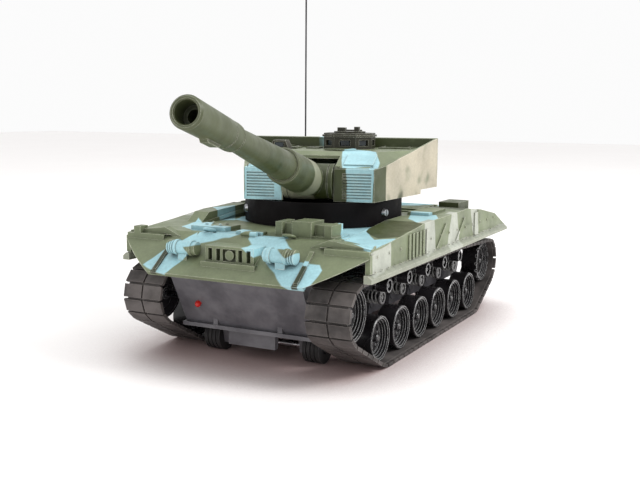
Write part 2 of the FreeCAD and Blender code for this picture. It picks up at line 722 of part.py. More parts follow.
def sponson():
    """One hollow side sponson with its skirt, open below for the track's top run."""
    slope = 3.0
    outer = prism_x(sponson_outline(0, 0), SPONSON_X - slope, SKIRT_X)
    bevel = prism_y([(SPONSON_X - slope - 1, DECK_Z), (SPONSON_X, DECK_Z),
                     (SPONSON_X - 0.0, DECK_Z + 0.01), (SPONSON_X + 1.2, FENDER_TOP_Z + 4),
                     (SPONSON_X - slope - 1, FENDER_TOP_Z + 4)],
                    SKIRT_FRONT_Y - 1, SKIRT_REAR_Y + 1)
    low = box(SPONSON_X - slope - 1, SPONSON_X, SKIRT_FRONT_Y - 1, SKIRT_REAR_Y + 1,
              SKIRT_BOTTOM_FRONT_Z - 5, DECK_UNDER)
    hollow = prism_x(sponson_outline(SHELL_T, SHELL_T), SPONSON_X - slope - 1,
                     SKIRT_X - SHELL_T)
    mouth = box(SPONSON_X - slope - 1, SKIRT_X - SHELL_T, SKIRT_FRONT_Y - 1,
                SKIRT_FRONT_Y + SHELL_T + 0.5, SKIRT_BOTTOM_FRONT_Z - 5, glacis_z(SKIRT_FRONT_Y) - 2)
    flange = prism_x([(SKIRT_FRONT_Y - 1.5, SKIRT_BOTTOM_FRONT_Z),
                      (SKIRT_FRONT_Y - 1.5, SKIRT_BOTTOM_FRONT_Z + FLANGE_H),
                      (SKIRT_REAR_Y + 1.5, SKIRT_BOTTOM_REAR_Z + FLANGE_H),
                      (SKIRT_REAR_Y + 1.5, SKIRT_BOTTOM_REAR_Z)],
                     SKIRT_X - SHELL_T, SKIRT_X + FLANGE_OUT)
    flare = prism_y([(SKIRT_X, SKIRT_BOTTOM_REAR_Z + FLANGE_H + 1), (SKIRT_X, SKIRT_BOTTOM_REAR_Z + 3),
                     (SKIRT_X + FLANGE_OUT, SKIRT_BOTTOM_REAR_Z + 1.2),
                     (SKIRT_X + FLANGE_OUT + 3, SKIRT_BOTTOM_REAR_Z + FLANGE_H + 1)],
                    SKIRT_FRONT_Y - 3, SKIRT_REAR_Y + 3)
    shell = outer.cut(bevel).cut(low).cut(hollow).cut(mouth)
    return fused([shell, flange.cut(flare)] + skirt_details())


def skirt_details():
    """Raised ribs and panel bars on one skirt's outer face."""
    x0, x1 = SKIRT_X - 0.4, SKIRT_X + 0.7
    low = SKIRT_BOTTOM_REAR_Z + FLANGE_H - 0.4
    first = RING_Y - 40
    ribs = [box(x0, x1, first + 4.6 * i, first + 4.6 * i + 2.2, low, FENDER_TOP_Z - 4.2)
            for i in range(6)]
    bars = [prism_x([(y, low + 1), (y + 1.6, low + 1), (y + 14.6, low + 12), (y + 13, low + 12)],
                    x0, x1) for y in (RING_Y - 2, RING_Y + 28)]
    strap = box(x0, x1, RING_Y + 60, RING_Y + 67, low, FENDER_TOP_Z - 3.4)
    front_edge = box(x0, x1, SKIRT_FRONT_Y, SKIRT_FRONT_Y + 4, low, FENDER_CORNER_Z - 1.5)
    return ribs + bars + [strap, front_edge]


def glacis_plate():
    """The sloping front plate, wide at the top, with scooped lower corners over the tracks."""
    y1 = GLACIS_TOP_Y
    top = glacis_z(y1)
    slab = prism_x([(LIP_Y, LIP_Z), (y1, top), (y1 + 1.5, top), (y1 + 1.5, top - 2.6),
                    (LIP_Y + 1.6, LIP_Z - 1.6)], -SKIRT_X, SKIRT_X)
    scoop_z = FENDER_CORNER_Z
    middle = Vector(LIP_HALF_W + 14, 0, LIP_Z + 4.2)
    corner_a = Vector(LIP_HALF_W, 0, LIP_Z)
    corner_b = Vector(SKIRT_X, 0, scoop_z - 3.2)
    far = Vector(SKIRT_X + 5, 0, scoop_z - 3.2)
    edges = [Part.Arc(corner_a, middle + Vector(-1.5, 0, 1.5), corner_b).toShape()]
    corners = [corner_b, far, Vector(SKIRT_X + 5, 0, LIP_Z - 9), Vector(LIP_HALF_W, 0, LIP_Z - 9),
               corner_a]
    edges += [Part.LineSegment(a, b).toShape() for a, b in zip(corners, corners[1:])]
    scoop = Part.Face(Part.Wire(edges)).extrude(Vector(0, 40, 0))
    scoop.translate(Vector(0, LIP_Y - 2, 0))
    slab = slab.cut(scoop).cut(mirrored(scoop))
    return slab


def fender_ridge():
    """The peaked ridge along the top of one front mudguard."""
    outline = [(LIP_HALF_W - 6, DECK_Z - 2.2), (LIP_HALF_W + 3, DECK_Z + 1.6),
               (SKIRT_X, FENDER_CORNER_Z + 0.8), (SKIRT_X, FENDER_CORNER_Z - 1.6),
               (LIP_HALF_W + 3, DECK_Z - 1.4), (LIP_HALF_W - 4, DECK_Z - 3.0)]
    return prism_y(outline, GLACIS_TOP_Y - 3.4, GLACIS_TOP_Y + 1.0)


def deck():
    """The flat top plate with its sloping tail, from the glacis to the stern."""
    half = SPONSON_X + 1.0
    tail = TAIL_Y + TAIL_COVER
    outline = [(GLACIS_TOP_Y, DECK_Z), (TAIL_SLOPE_Y, DECK_Z), (tail - 3, DECK_Z - 5),
               (tail, SKIRT_BOTTOM_REAR_Z), (tail - SHELL_T, SKIRT_BOTTOM_REAR_Z),
               (tail - 3 - SHELL_T, DECK_Z - 5 - SHELL_T), (TAIL_SLOPE_Y, DECK_UNDER),
               (GLACIS_TOP_Y, DECK_UNDER)]
    plate = prism_x(outline, -half, half)
    return plate.cut(rod_z(RING_HOLE_R, 0, RING_Y, DECK_UNDER - 1, DECK_Z + 1))


def grille_housing():
    """The slotted box in the middle of the glacis, with a thick bottom lip."""
    y_front, y_back = LIP_Y + 4, GLACIS_TOP_Y - 5
    z0, z1 = glacis_z(y_front) - 0.5, glacis_z(y_back) + 0.6
    body = box(-13, 13, y_front + 3.2, y_back + 1, z0 + 2.2, z1)
    lip = box(-14.5, 14.5, y_front + 1.4, y_back, z0 + 0.2, z0 + 4.0)
    slots = []
    for x in (-10.4, -6.0, 6.0, 10.4):
        slots.append(box(x - 1.1, x + 1.1, y_front + 2.2, y_front + 6.2, z0 + 4.6, z1 - 1.2))
    window = box(-3.6, 3.6, y_front + 2.2, y_front + 5.2, z0 + 4.6, z1 - 1.2)
    boss = Part.makeCylinder(2.3, 4.2, Vector(0, y_front + 3.4, z0 + 7.4), Vector(0, 1, 0))
    housing = body.cut(Part.makeCompound(slots + [window])).fuse(boss)
    under = glacis_under(1.0)
    return [housing.cut(under), lip.cut(under)]


def lamp_shape():
    """A lamp canister across the glacis with two bands and a ribbed end."""
    radius, half = LAMP_R, LAMP_L / 2
    outline = [(-half, 0.0), (-half, radius - 0.9)]
    for i in range(3):
        x = -half + 1.2 * i
        outline += [(x + 0.3, radius - 0.3), (x + 0.8, radius - 0.3), (x + 1.2, radius - 0.9)]
    outline += [(-half + 4.2, radius), (-half + 5.6, radius), (-half + 5.6, radius - 0.5)]
    outline += [(half - 3.6, radius - 0.5), (half - 3.6, radius), (half - 2.2, radius)]
    outline += [(half - 2.2, radius - 0.5), (half, radius - 0.5), (half, 0.0)]
    return turned_x(outline, 0, 0)


def headlamps():
    """The two lamp canisters on the glacis, each on a short foot."""
    lamps = []
    for side in (-1, 1):
        y = LAMP_Y
        lamp = lamp_shape()
        if side > 0:
            lamp = mirrored(lamp)
        lift = (LAMP_R + 0.2) / math.cos(math.radians(GLACIS_ANGLE))
        lamp.translate(Vector(0, y, glacis_z(y) + lift))
        foot = box(-2.5, 2.5, y - 1.2, y + 1.6, glacis_z(y - 1.2), glacis_z(y) + LAMP_R)
        foot = foot.cut(glacis_under(0.0))
        pair = lamp.fuse(foot)
        pair.translate(Vector(side * LAMP_X, 0, 0))
        lamps.append(pair)
    return Part.makeCompound(lamps)


def glacis_under(depth):
    """Everything below the glacis plate's outer face, less a depth."""
    y0, y1 = LIP_Y - 5, GLACIS_TOP_Y + 5
    low = LIP_Z - 30
    top = [(y0, glacis_z(y0) - depth), (y1, glacis_z(y1) - depth)]
    return prism_x(top + [(y1, low), (y0, low)], -LIP_HALF_W, LIP_HALF_W)


def driver_hood():
    """The driver's row of blocks and dark windows at the deck's front edge."""
    y0, y1 = GLACIS_TOP_Y + 8, GLACIS_TOP_Y + 20
    low = DECK_Z - 0.5
    base = box(11, 42, y0, y1 + 4, low, DECK_Z + 1.0)
    blocks = [box(11, 14.6, y0, y1, low, DECK_Z + 6.8),
              box(20.4, 30.6, y0 - 1, y1, low, DECK_Z + 7.6),
              box(37.0, 40.6, y0, y1, low, DECK_Z + 6.4)]
    backs = [box(14.6, 20.4, y0 + 3, y1, low, DECK_Z + 6.0),
             box(30.6, 37.0, y0 + 3, y1, low, DECK_Z + 6.0)]
    return [base] + blocks + backs


def deck_fittings():
    """Boxes, bars, hatches and lifting eyes that are moulded on the deck and fenders."""
    top = DECK_Z
    side = SPONSON_X + 2
    parts = [
        prism_x([(RING_Y - 52, FENDER_TOP_Z - 5), (RING_Y - 44, FENDER_TOP_Z + 0.6),
                 (RING_Y - 6, FENDER_TOP_Z + 2.2), (RING_Y - 6, FENDER_TOP_Z - 5)],
                -side - 8, -side + 1),
        box(side, side + 12, RING_Y + 56, RING_Y + 74, FENDER_TOP_Z - 5, FENDER_TOP_Z + 2.2),
        box(side, side + 12, RING_Y + 8, RING_Y + 34, FENDER_TOP_Z - 5, FENDER_TOP_Z + 1.0),
        box(-side - 12, -side, RING_Y + 8, RING_Y + 40, FENDER_TOP_Z - 5, FENDER_TOP_Z + 1.4),
        box(-36, -16, GLACIS_TOP_Y + 6, GLACIS_TOP_Y + 20, top - 0.5, top + 2.2),
        box(-8, 6, GLACIS_TOP_Y + 3, GLACIS_TOP_Y + 9, top - 0.5, top + 1.6),
    ]
    parts += [box(-34, 34, RING_Y + 58 + 6.5 * i, RING_Y + 61.5 + 6.5 * i, top - 0.5, top + 1.8)
              for i in range(5)]
    parts.append(box(-38, 38, RING_Y + 54, RING_Y + 92, top - 0.5, top + 0.7))
    strip = [(LIP_Y + 1, glacis_z(LIP_Y + 1) + 0.9), (GLACIS_TOP_Y - 6, glacis_z(GLACIS_TOP_Y - 6) + 0.9),
             (GLACIS_TOP_Y - 6, glacis_z(GLACIS_TOP_Y - 6) - 1), (LIP_Y + 1, glacis_z(LIP_Y + 1) - 1)]
    parts += [prism_x(strip, side * (LIP_HALF_W - 4) - 1.1, side * (LIP_HALF_W - 4) + 1.1)
              for side in (-1, 1)]
    peg_y = SKIRT_FRONT_Y + 3
    parts.append(box(-SKIRT_X + 4, -SKIRT_X + 8, peg_y - 3, peg_y + 3,
                     FENDER_CORNER_Z - 1.5, FENDER_CORNER_Z + 3.4))
    return parts


def lifting_eyes():
    """Four small rings on the glacis edge and the stern deck."""
    eyes = []
    for x, y in ((-22, GLACIS_TOP_Y + 1.5), (22, GLACIS_TOP_Y + 1.5)):
        ring = Part.makeTorus(2.6, 0.7, Vector(x, y, DECK_Z + 1.2), Vector(0, 0.35, 1))
        eyes.append(ring)
    return eyes


def upper_hull():
    """The painted top shell: glacis, deck, sponsons and everything moulded on them."""
    side = sponson()
    ridge = fender_ridge()
    shapes = [deck(), glacis_plate(), side, mirrored(side), ridge, mirrored(ridge)]
    shapes += grille_housing() + driver_hood() + deck_fittings() + lifting_eyes()
    shapes.append(rod_z(ANTENNA_BASE_R + 1.0, ANTENNA_X, ANTENNA_Y, ANTENNA_Z - 5, ANTENNA_Z))
    bar = Part.makeCylinder(1.3, 8, Vector(-3, GLACIS_TOP_Y + 0.6, DECK_Z + 0.8), Vector(1, 0, 0))
    shell = shapes[0].multiFuse(shapes[1:] + [bar])
    socket = rod_z(ANTENNA_BASE_R - 1.4, ANTENNA_X, ANTENNA_Y, ANTENNA_Z - 9, ANTENNA_Z + 1)
    return shell.cut(socket).removeSplitter()


def antenna_base():
    """The round plastic socket that the antenna stands in."""
    z = ANTENNA_Z
    foot = rod_z(ANTENNA_BASE_R, ANTENNA_X, ANTENNA_Y, z, z + 1.6)
    neck = Part.makeCone(ANTENNA_BASE_R - 1.0, ANTENNA_R + 0.7, ANTENNA_BASE_H - 1.6,
                         Vector(ANTENNA_X, ANTENNA_Y, z + 1.6))
    plug = rod_z(ANTENNA_BASE_R - 1.4, ANTENNA_X, ANTENNA_Y, z - 5, z)
    hole = rod_z(ANTENNA_R, ANTENNA_X, ANTENNA_Y, z, z + ANTENNA_BASE_H + 1)
    return fused([foot, neck, plug]).cut(hole)


def antenna():
    """The thin stiff aerial wire with a small bead at its tip."""
    z = ANTENNA_Z
    wire = rod_z(ANTENNA_R, ANTENNA_X, ANTENNA_Y, z, z + ANTENNA_LENGTH)
    bead = Part.makeSphere(ANTENNA_R + 0.5, Vector(ANTENNA_X, ANTENNA_Y, z + ANTENNA_LENGTH))
    return wire.fuse(bead)


def switch_window():
    """The hole in the belly that the power switch's knob moves in."""
    return box(SWITCH_X - 2.2, SWITCH_X + 2.2, SWITCH_Y - 2.4 - SWITCH_TRAVEL / 2,
               SWITCH_Y + 2.4 + SWITCH_TRAVEL / 2, BELLY_Z - 1, FLOOR_Z + 1)


def switch_body():
    """The slide switch's metal case on the tub's floor, with a slot for its knob."""
    case = box(SWITCH_X - 4, SWITCH_X + 4, SWITCH_Y - 9, SWITCH_Y + 9, FLOOR_Z, FLOOR_Z + 6)
    reach = SWITCH_TRAVEL / 2 + 1.5
    slot = box(SWITCH_X - 1.9, SWITCH_X + 1.9, SWITCH_Y - reach - 0.9, SWITCH_Y + reach + 0.9,
               FLOOR_Z - 1, FLOOR_Z + 3)
    return case.cut(slot)


def power_switch():
    """The switch's sliding knob, drawn in its off place at the front of its travel."""
    y = SWITCH_Y - SWITCH_TRAVEL / 2
    stem = box(SWITCH_X - 1.5, SWITCH_X + 1.5, y - 1.6, y + 1.6, BELLY_Z - 0.9, FLOOR_Z + 2.6)
    ribs = [box(SWITCH_X - 1.5, SWITCH_X + 1.5, y - 1.3 + 1.1 * i, y - 0.9 + 1.1 * i,
                BELLY_Z - 1.3, BELLY_Z - 0.9) for i in range(3)]
    return fused([stem] + ribs)


# Turret, drawn about the ring's centre, pointing along -Y ------------------------------------

def at_ring(shape):
    """Moves a shape drawn about the origin to the turret ring's centre."""
    shape.translate(RING)
    return shape


def turned_turret(shape):
    """Turns a turret piece to its rest angle."""
    shape.rotate(RING, Vector(0, 0, 1), TURRET_REST_YAW)
    return shape


def raised_gun(shape):
    """Raises a gun piece to its rest angle and turns it with the turret."""
    shape.rotate(TRUNNION, Vector(-1, 0, 0), GUN_REST_ELEVATION)
    return turned_turret(shape)


def turret_base():
    """The black drum under the turret, with its neck and the flange that keeps it on."""
    low = DECK_Z + RING_LIFT
    drum = rod_z(DRUM_R, 0, 0, low, DRUM_TOP_Z)
    hollow = rod_z(DRUM_R - DRUM_T, 0, 0, low + DRUM_T, DRUM_TOP_Z + 1)
    neck = rod_z(RING_HOLE_R - RING_FIT, 0, 0, DECK_UNDER - FACE_GAP - 1.6, low + DRUM_T)
    bore = rod_z(RING_HOLE_R - RING_FIT - 3, 0, 0, DECK_UNDER - 5, low + DRUM_T + 1)
    flange = rod_z(RING_HOLE_R + 2.2, 0, 0, DECK_UNDER - FACE_GAP - 1.6, DECK_UNDER - FACE_GAP)
    screws = [side_screw(angle, SCREW_R) for angle in DRUM_SCREW_ANGLES]
    screws += [side_seat(angle) for angle in DRUM_SCREW_ANGLES]
    body = drum.cut(hollow).fuse(neck).fuse(flange).cut(bore)
    lugs = [rod_z(POST_R, x, y, low, TURRET_BOTTOM_Z) for x, y in post_places()]
    shape = body.multiFuse([lug.cut(bore) for lug in lugs])
    return at_ring(shape.cut(Part.makeCompound(screws)).removeSplitter())


def post_places():
    """Where the drum's four posts meet the turret shell's posts."""
    return [(sx * 27, y) for sx in (-1, 1) for y in (-20, 22)]


def side_screw(angle, radius):
    """A screw's shank through the drum's side wall, at an angle from straight ahead."""
    turn = math.radians(angle)
    out = Vector(math.sin(turn), -math.cos(turn), 0)
    z = (DECK_Z + DRUM_TOP_Z) / 2 + 0.4
    return Part.makeCylinder(radius, 6, out * (DRUM_R - 5) + Vector(0, 0, z), out)


def side_seat(angle):
    """The flat seat under a side screw's head."""
    turn = math.radians(angle)
    out = Vector(math.sin(turn), -math.cos(turn), 0)
    z = (DECK_Z + DRUM_TOP_Z) / 2 + 0.4
    start = out * (DRUM_R - 0.2) + Vector(0, 0, z)
    return Part.makeCylinder(SCREW_HEAD_R + 0.15, 3, start, out)


def turret_screws():
    """The bright screws in the drum's side wall."""
    screws = []
    for angle in DRUM_SCREW_ANGLES:
        turn = math.radians(angle)
        out = Vector(math.sin(turn), -math.cos(turn), 0)
        z = (DECK_Z + DRUM_TOP_Z) / 2 + 0.4
        start = out * (DRUM_R - 0.2) + Vector(0, 0, z)
        head = Part.makeCone(SCREW_HEAD_R, SCREW_HEAD_R * 0.72, SCREW_HEAD_H, start, out)
        slot = Part.makeBox(0.5, 2, 3.4, Vector(-0.25, -0.6, -1.7))
        slot.rotate(Vector(0, 0, 0), Vector(0, 0, 1), angle)
        slot.translate(start + out * SCREW_HEAD_H)
        screws.append(side_screw(angle, SCREW_R).fuse(head).cut(slot))
    return at_ring(Part.makeCompound(screws))


def turret_plan(inset):
    """The turret's outline from above, moved in by a wall thickness."""
    return [
        (-TURRET_FRONT_HALF_W + inset * 0.7, -TURRET_FRONT + inset),
        (TURRET_FRONT_HALF_W - inset * 0.7, -TURRET_FRONT + inset),
        (TURRET_CORNER_HALF_W - inset, TURRET_CORNER_B + inset * 0.4),
        (TURRET_REAR_HALF_W - inset, TURRET_REAR - inset),
        (-TURRET_REAR_HALF_W + inset, TURRET_REAR - inset),
        (-TURRET_CORNER_HALF_W + inset, TURRET_CORNER_B + inset * 0.4),
    ]


def turret_shell():
    """The painted turret casing, with slatted cheeks and a raised rim at sides and rear."""
    wall = TURRET_WALL
    front, rear = -TURRET_FRONT, TURRET_REAR
    wide = TURRET_REAR_HALF_W + 10
    high = RIM_REAR_Z + 9
    shell = prism_z(turret_plan(0), TURRET_BOTTOM_Z, RIM_REAR_Z)
    above_rim = prism_x([(front - 1, CHEEK_TOP_Z), (TURRET_CORNER_B, SIDE_FRONT_Z),
                         (rear + 1, RIM_REAR_Z), (rear + 1, high), (front - 1, high)], -wide, wide)
    within = prism_z(turret_plan(wall), TURRET_BOTTOM_Z - 1, high)
    over_roof = [(front - 3, CHEEK_TOP_Z), (front, CHEEK_TOP_Z), (ROOF_FRONT_B, ROOF_Z),
                 (rear + 3, ROOF_Z), (rear + 3, high), (front - 3, high)]
    under_roof = [(front - 3, 70), (front - 3, CHEEK_TOP_Z - wall), (front, CHEEK_TOP_Z - wall),
                  (ROOF_FRONT_B, ROOF_Z - wall), (rear + 3, ROOF_Z - wall), (rear + 3, 70)]
    recess = within.common(prism_x(over_roof, -wide, wide))
    inside = within.common(prism_x(under_roof, -wide, wide))
    for bevel in (roof_bevel(0), mirrored(roof_bevel(0))):
        recess = recess.fuse(within.common(bevel))
    for bevel in (roof_bevel(wall), mirrored(roof_bevel(wall))):
        inside = inside.cut(bevel)
    step = box(-wide, wide, rear - 22, rear + 1, TURRET_BOTTOM_Z - 1, TURRET_BOTTOM_Z + 2.4)
    half = MANTLET_W / 2 + MANTLET_GAP
    mouth = box(-half, half, front - 1, front + wall + 1, TURRET_BOTTOM_Z - 1, CHEEK_TOP_Z + 4)
    roof_slot = box(-half, half, front - 1, -TRUNNION_AHEAD + MANTLET_R + 0.6,
                    CHEEK_TOP_Z - 6, ROOF_Z + 1)
    shape = shell.cut(above_rim.cut(within))
    for hollow in (recess, inside, step, mouth, roof_slot):
        shape = shape.cut(hollow)
    posts = [rod_z(POST_R, x, y, TURRET_BOTTOM_Z, roof_height(y) - wall / 2)
             for x, y in post_places()]
    for piece in turret_details() + trunnion_ears() + posts:
        shape = shape.fuse(piece)
    return at_ring(shape.cut(Part.makeCompound(cheek_slots() + [trunnion_bore()])).removeSplitter())


def roof_bevel(drop):
    """Everything above the sloping facet that joins one side rim to the roof."""
    edge_start = Vector(TURRET_CORNER_HALF_W, TURRET_CORNER_B, SIDE_FRONT_Z - drop)
    edge_end = Vector(TURRET_REAR_HALF_W, TURRET_REAR, RIM_REAR_Z - drop)
    along = edge_end - edge_start
    along.normalize()
    outward = Vector(along.y, -along.x, 0)
    outward.normalize()
    inward_up = Vector(0, 0, 1) * math.sin(BEVEL) - outward * math.cos(BEVEL)
    start = edge_start - outward * TURRET_WALL - along * 30
    corners = [start, start + inward_up * 60, start + inward_up * 60 + Vector(0, 0, 40),
               start + outward * 30 + Vector(0, 0, 40), start + outward * 30]
    return prism(corners, Vector(0, 0, 0), along * 140)


def roof_height(y):
    """The roof's outer height at a distance behind the ring's centre."""
    share = min(1.0, (y + TURRET_FRONT) / (TURRET_FRONT + ROOF_FRONT_B))
    return CHEEK_TOP_Z + (ROOF_Z - CHEEK_TOP_Z) * share


def cheek_slots():
    """The horizontal grooves between the slats on both cheeks."""
    slots = []
    inner = MANTLET_W / 2 + 5
    outer = TURRET_FRONT_HALF_W - 1.5
    pitch = (CHEEK_TOP_Z - TURRET_BOTTOM_Z - 3) / SLAT_COUNT
    for i in range(SLAT_COUNT):
        z = TURRET_BOTTOM_Z + 1.6 + pitch * i
        for side in (-1, 1):
            x0, x1 = sorted((side * inner, side * outer))
            slots.append(box(x0, x1, -TURRET_FRONT - 1, -TURRET_FRONT + 0.7, z, z + pitch * 0.5))
    return slots


def trunnion_ears():
    """Two ears inside the turret that hold the gun's pivot pin."""
    x0 = MANTLET_W / 2 + MANTLET_GAP
    y = -TRUNNION_AHEAD
    ear = box(x0, x0 + 3, y - 4.2, y + 5, TRUNNION_Z - 4, roof_height(y) - TURRET_WALL / 2)
    return [ear, mirrored(ear)]


def trunnion_bore():
    """The hole through both ears for the pivot pin."""
    reach = MANTLET_W / 2 + 6
    return rod_x(TRUNNION_R + PIN_FIT, -reach, reach, -TRUNNION_AHEAD, TRUNNION_Z)


def turret_details():
    """Raised plates, hatch rims and blocks on the turret's roof."""
    parts = [
        box(-31, -17, 7, 19, ROOF_Z - 1, ROOF_Z + 0.9),
        box(-13, -6, 12, 24, ROOF_Z - 1, ROOF_Z + 0.7),
        box(26, 44, 22, 34, ROOF_Z - 1, ROOF_Z + 0.8),
        box(-44, -26, 24, 36, ROOF_Z - 1, ROOF_Z + 1.0),
        rod_z(8.5, CUPOLA_X, -2, ROOF_Z - 1, ROOF_Z + 0.8),
    ]
    hatch = Part.makeBox(15, 13, 1.6, Vector(-7.5, -6.5, -0.9))
    slope = math.degrees(math.atan((ROOF_Z - CHEEK_TOP_Z) / (TURRET_FRONT + ROOF_FRONT_B)))
    hatch.rotate(Vector(0, 0, 0), Vector(1, 0, 0), slope)
    hatch.translate(Vector(25, (-TURRET_FRONT + ROOF_FRONT_B) / 2, (ROOF_Z + CHEEK_TOP_Z) / 2))
    return parts + [hatch]


def eight_sides(half, z0, z1):
    """An eight-sided block about the cupola's centre."""
    corner = half * 0.45
    outline = [(-corner, -half), (corner, -half), (half, -corner), (half, corner),
               (corner, half), (-corner, half), (-half, corner), (-half, -corner)]
    return prism_z([(CUPOLA_X + x, CUPOLA_B + y) for x, y in outline], z0, z1)


def cupola():
    """The commander's eight-sided cupola with a window in each face."""
    top = ROOF_Z + CUPOLA_H
    body = eight_sides(CUPOLA_HALF, ROOF_Z, top)
    rim = eight_sides(CUPOLA_HALF + 0.8, top - 2.0, top - 0.9)
    windows = []
    for i in range(8):
        pane = Part.makeBox(6.0, 4.0, 3.2, Vector(-3.0, -CUPOLA_HALF - 2.6, ROOF_Z + 1.8))
        pane.rotate(Vector(0, 0, 0), Vector(0, 0, 1), 45 * i)
        pane.translate(Vector(CUPOLA_X, CUPOLA_B, 0))
        windows.append(pane)
    bore = rod_z(CUPOLA_HALF - 4.6, CUPOLA_X, CUPOLA_B, ROOF_Z + 1.5, top + 1)
    shape = body.fuse(rim).cut(Part.makeCompound(windows + [bore]))
    hinge = box(CUPOLA_X - 5, CUPOLA_X + 5, CUPOLA_B + CUPOLA_HALF - 4.4,
                CUPOLA_B + CUPOLA_HALF - 2.4, top - 0.5, top + 1.6)
    return at_ring(shape.fuse(hinge).removeSplitter())


def cupola_hatch():
    """The round lid that lies in the cupola's opening."""
    top = ROOF_Z + CUPOLA_H
    lid = rod_z(CUPOLA_HALF - 4.7, CUPOLA_X, CUPOLA_B, top - 1.4, top + 0.9)
    bars = [box(CUPOLA_X - 6.5, CUPOLA_X - 2.0, CUPOLA_B - 3, CUPOLA_B + 1, top + 0.9, top + 3.0),
            box(CUPOLA_X + 2.6, CUPOLA_X + 5.4, CUPOLA_B - 1, CUPOLA_B + 2.6, top + 0.9, top + 3.4)]
    return at_ring(fused([lid] + bars))


def gunner_sight():
    """The small dark sight block with sloping sides."""
    outline = [(-5.4, ROOF_Z), (5.4, ROOF_Z), (3.4, ROOF_Z + 5), (-3.4, ROOF_Z + 5)]
    block = prism_y(outline, -4, 4)
    pane = box(-2.6, 2.6, -5, -3.4, ROOF_Z + 1.2, ROOF_Z + 4)
    shape = block.cut(pane)
    shape.translate(Vector(SIGHT_X, SIGHT_B, 0))
    return at_ring(shape)


# Gun, drawn level and straight ahead with its pivot on the trunnion ---------------------------

def turned_gun(outline):
    """A body turned about the level gun axis, from (distance ahead, radius) points."""
    points = [Vector(0, -distance, radius) for distance, radius in outline]
    wire = Part.makePolygon(points + points[:1])
    shape = Part.Face(wire).revolve(Vector(0, 0, 0), Vector(0, 1, 0), 360)
    shape.translate(TRUNNION)
    return shape


def mantlet():
    """The rounded block at the gun's root, turned about the pivot so it clears the turret."""
    half = MANTLET_W / 2
    drum = rod_x(MANTLET_R, -half, half, TRUNNION.y, TRUNNION.z)
    grooves = [rod_x(MANTLET_R + 1, x - 0.3, x + 0.3, TRUNNION.y, TRUNNION.z)
               .cut(rod_x(MANTLET_R - 0.6, x - 1, x + 1, TRUNNION.y, TRUNNION.z))
               for x in (-half + 2.4, half - 2.4)]
    bore = rod_x(TRUNNION_R, -half - 1, half + 1, TRUNNION.y, TRUNNION.z)
    seat = turned_gun([(MANTLET_R - 3.0, 0.0), (MANTLET_R - 3.0, SLEEVE_ROOT_R),
                       (MANTLET_R + 4, SLEEVE_ROOT_R), (MANTLET_R + 4, 0.0)])
    return drum.cut(Part.makeCompound(grooves)).cut(bore).cut(seat)


def trunnion_pin():
    """The steel pin that the gun pivots on."""
    reach = MANTLET_W / 2 + MANTLET_GAP + 2.6
    return rod_x(TRUNNION_R, -reach, reach, TRUNNION.y, TRUNNION.z)


def gun_sleeve():
    """The thick conical sleeve at the barrel's root, with a ring at each end."""
    start, end = MANTLET_R - 3.0, SLEEVE_END
    root, tip = SLEEVE_ROOT_R, SLEEVE_ROOT_R - 0.4
    return turned_gun([
        (start, 0.0), (start, root), (MANTLET_R + 2.0, root), (MANTLET_R + 2.0, root - 0.5),
        (MANTLET_R + 3.2, root - 0.5), (MANTLET_R + 3.2, SLEEVE_R), (end - 2.4, tip + 0.3),
        (end - 0.6, tip + 0.1), (end, tip - 0.6), (end, BARREL_ROOT_R),
        (end - 9, BARREL_ROOT_R), (end - 9, 0.0)])


def gun_barrel():
    """The long tapering barrel between the sleeve and the muzzle section."""
    start, end = SLEEVE_END - 9, MUZZLE_START + 8
    taper = (BARREL_ROOT_R - BARREL_TIP_R) / (MUZZLE_START - SLEEVE_END)
    return turned_gun([
        (start, 0.0), (start, BARREL_ROOT_R), (SLEEVE_END, BARREL_ROOT_R),
        (MUZZLE_START, BARREL_TIP_R), (end, BARREL_TIP_R - 8 * taper), (end, BARREL_BORE_R),
        (MUZZLE_START - BARREL_BORE_DEPTH, BARREL_BORE_R), (MUZZLE_START - BARREL_BORE_DEPTH, 0.0)])


def muzzle():
    """The fat muzzle section with two ring grooves behind and a stepped bore."""
    start = MUZZLE_START
    taper = (BARREL_ROOT_R - BARREL_TIP_R) / (MUZZLE_START - SLEEVE_END)
    outline = [(start, BARREL_TIP_R), (start, MUZZLE_R - 0.6), (start + 0.8, MUZZLE_R - 0.2)]
    for groove in (start + 1.5, start + 10):
        outline += [(groove, MUZZLE_R - 0.2), (groove, MUZZLE_R - 0.8),
                    (groove + 1.0, MUZZLE_R - 0.8), (groove + 1.0, MUZZLE_R - 0.1)]
    outline += [(GUN_LENGTH - 1.0, MUZZLE_R), (GUN_LENGTH, MUZZLE_R - 0.7)]
    outline += [(GUN_LENGTH, MUZZLE_BORE_R + 0.4), (GUN_LENGTH - 0.6, MUZZLE_BORE_R)]
    outline += [(GUN_LENGTH - 9, MUZZLE_BORE_R), (GUN_LENGTH - 9, BARREL_BORE_R)]
    outline += [(start + 8, BARREL_BORE_R), (start + 8, BARREL_TIP_R - 8 * taper)]
    body = turned_gun(outline)
    keel = prism_x([(-start - 15, -MUZZLE_R + 1), (-start - 19, -MUZZLE_R - 1.0),
                    (-start - 29, -MUZZLE_R - 1.0), (-start - 31, -MUZZLE_R + 1)], -1.6, 1.6)
    keel.translate(TRUNNION)
    return body.fuse(keel)


# Build and write -----------------------------------------------------------------------------

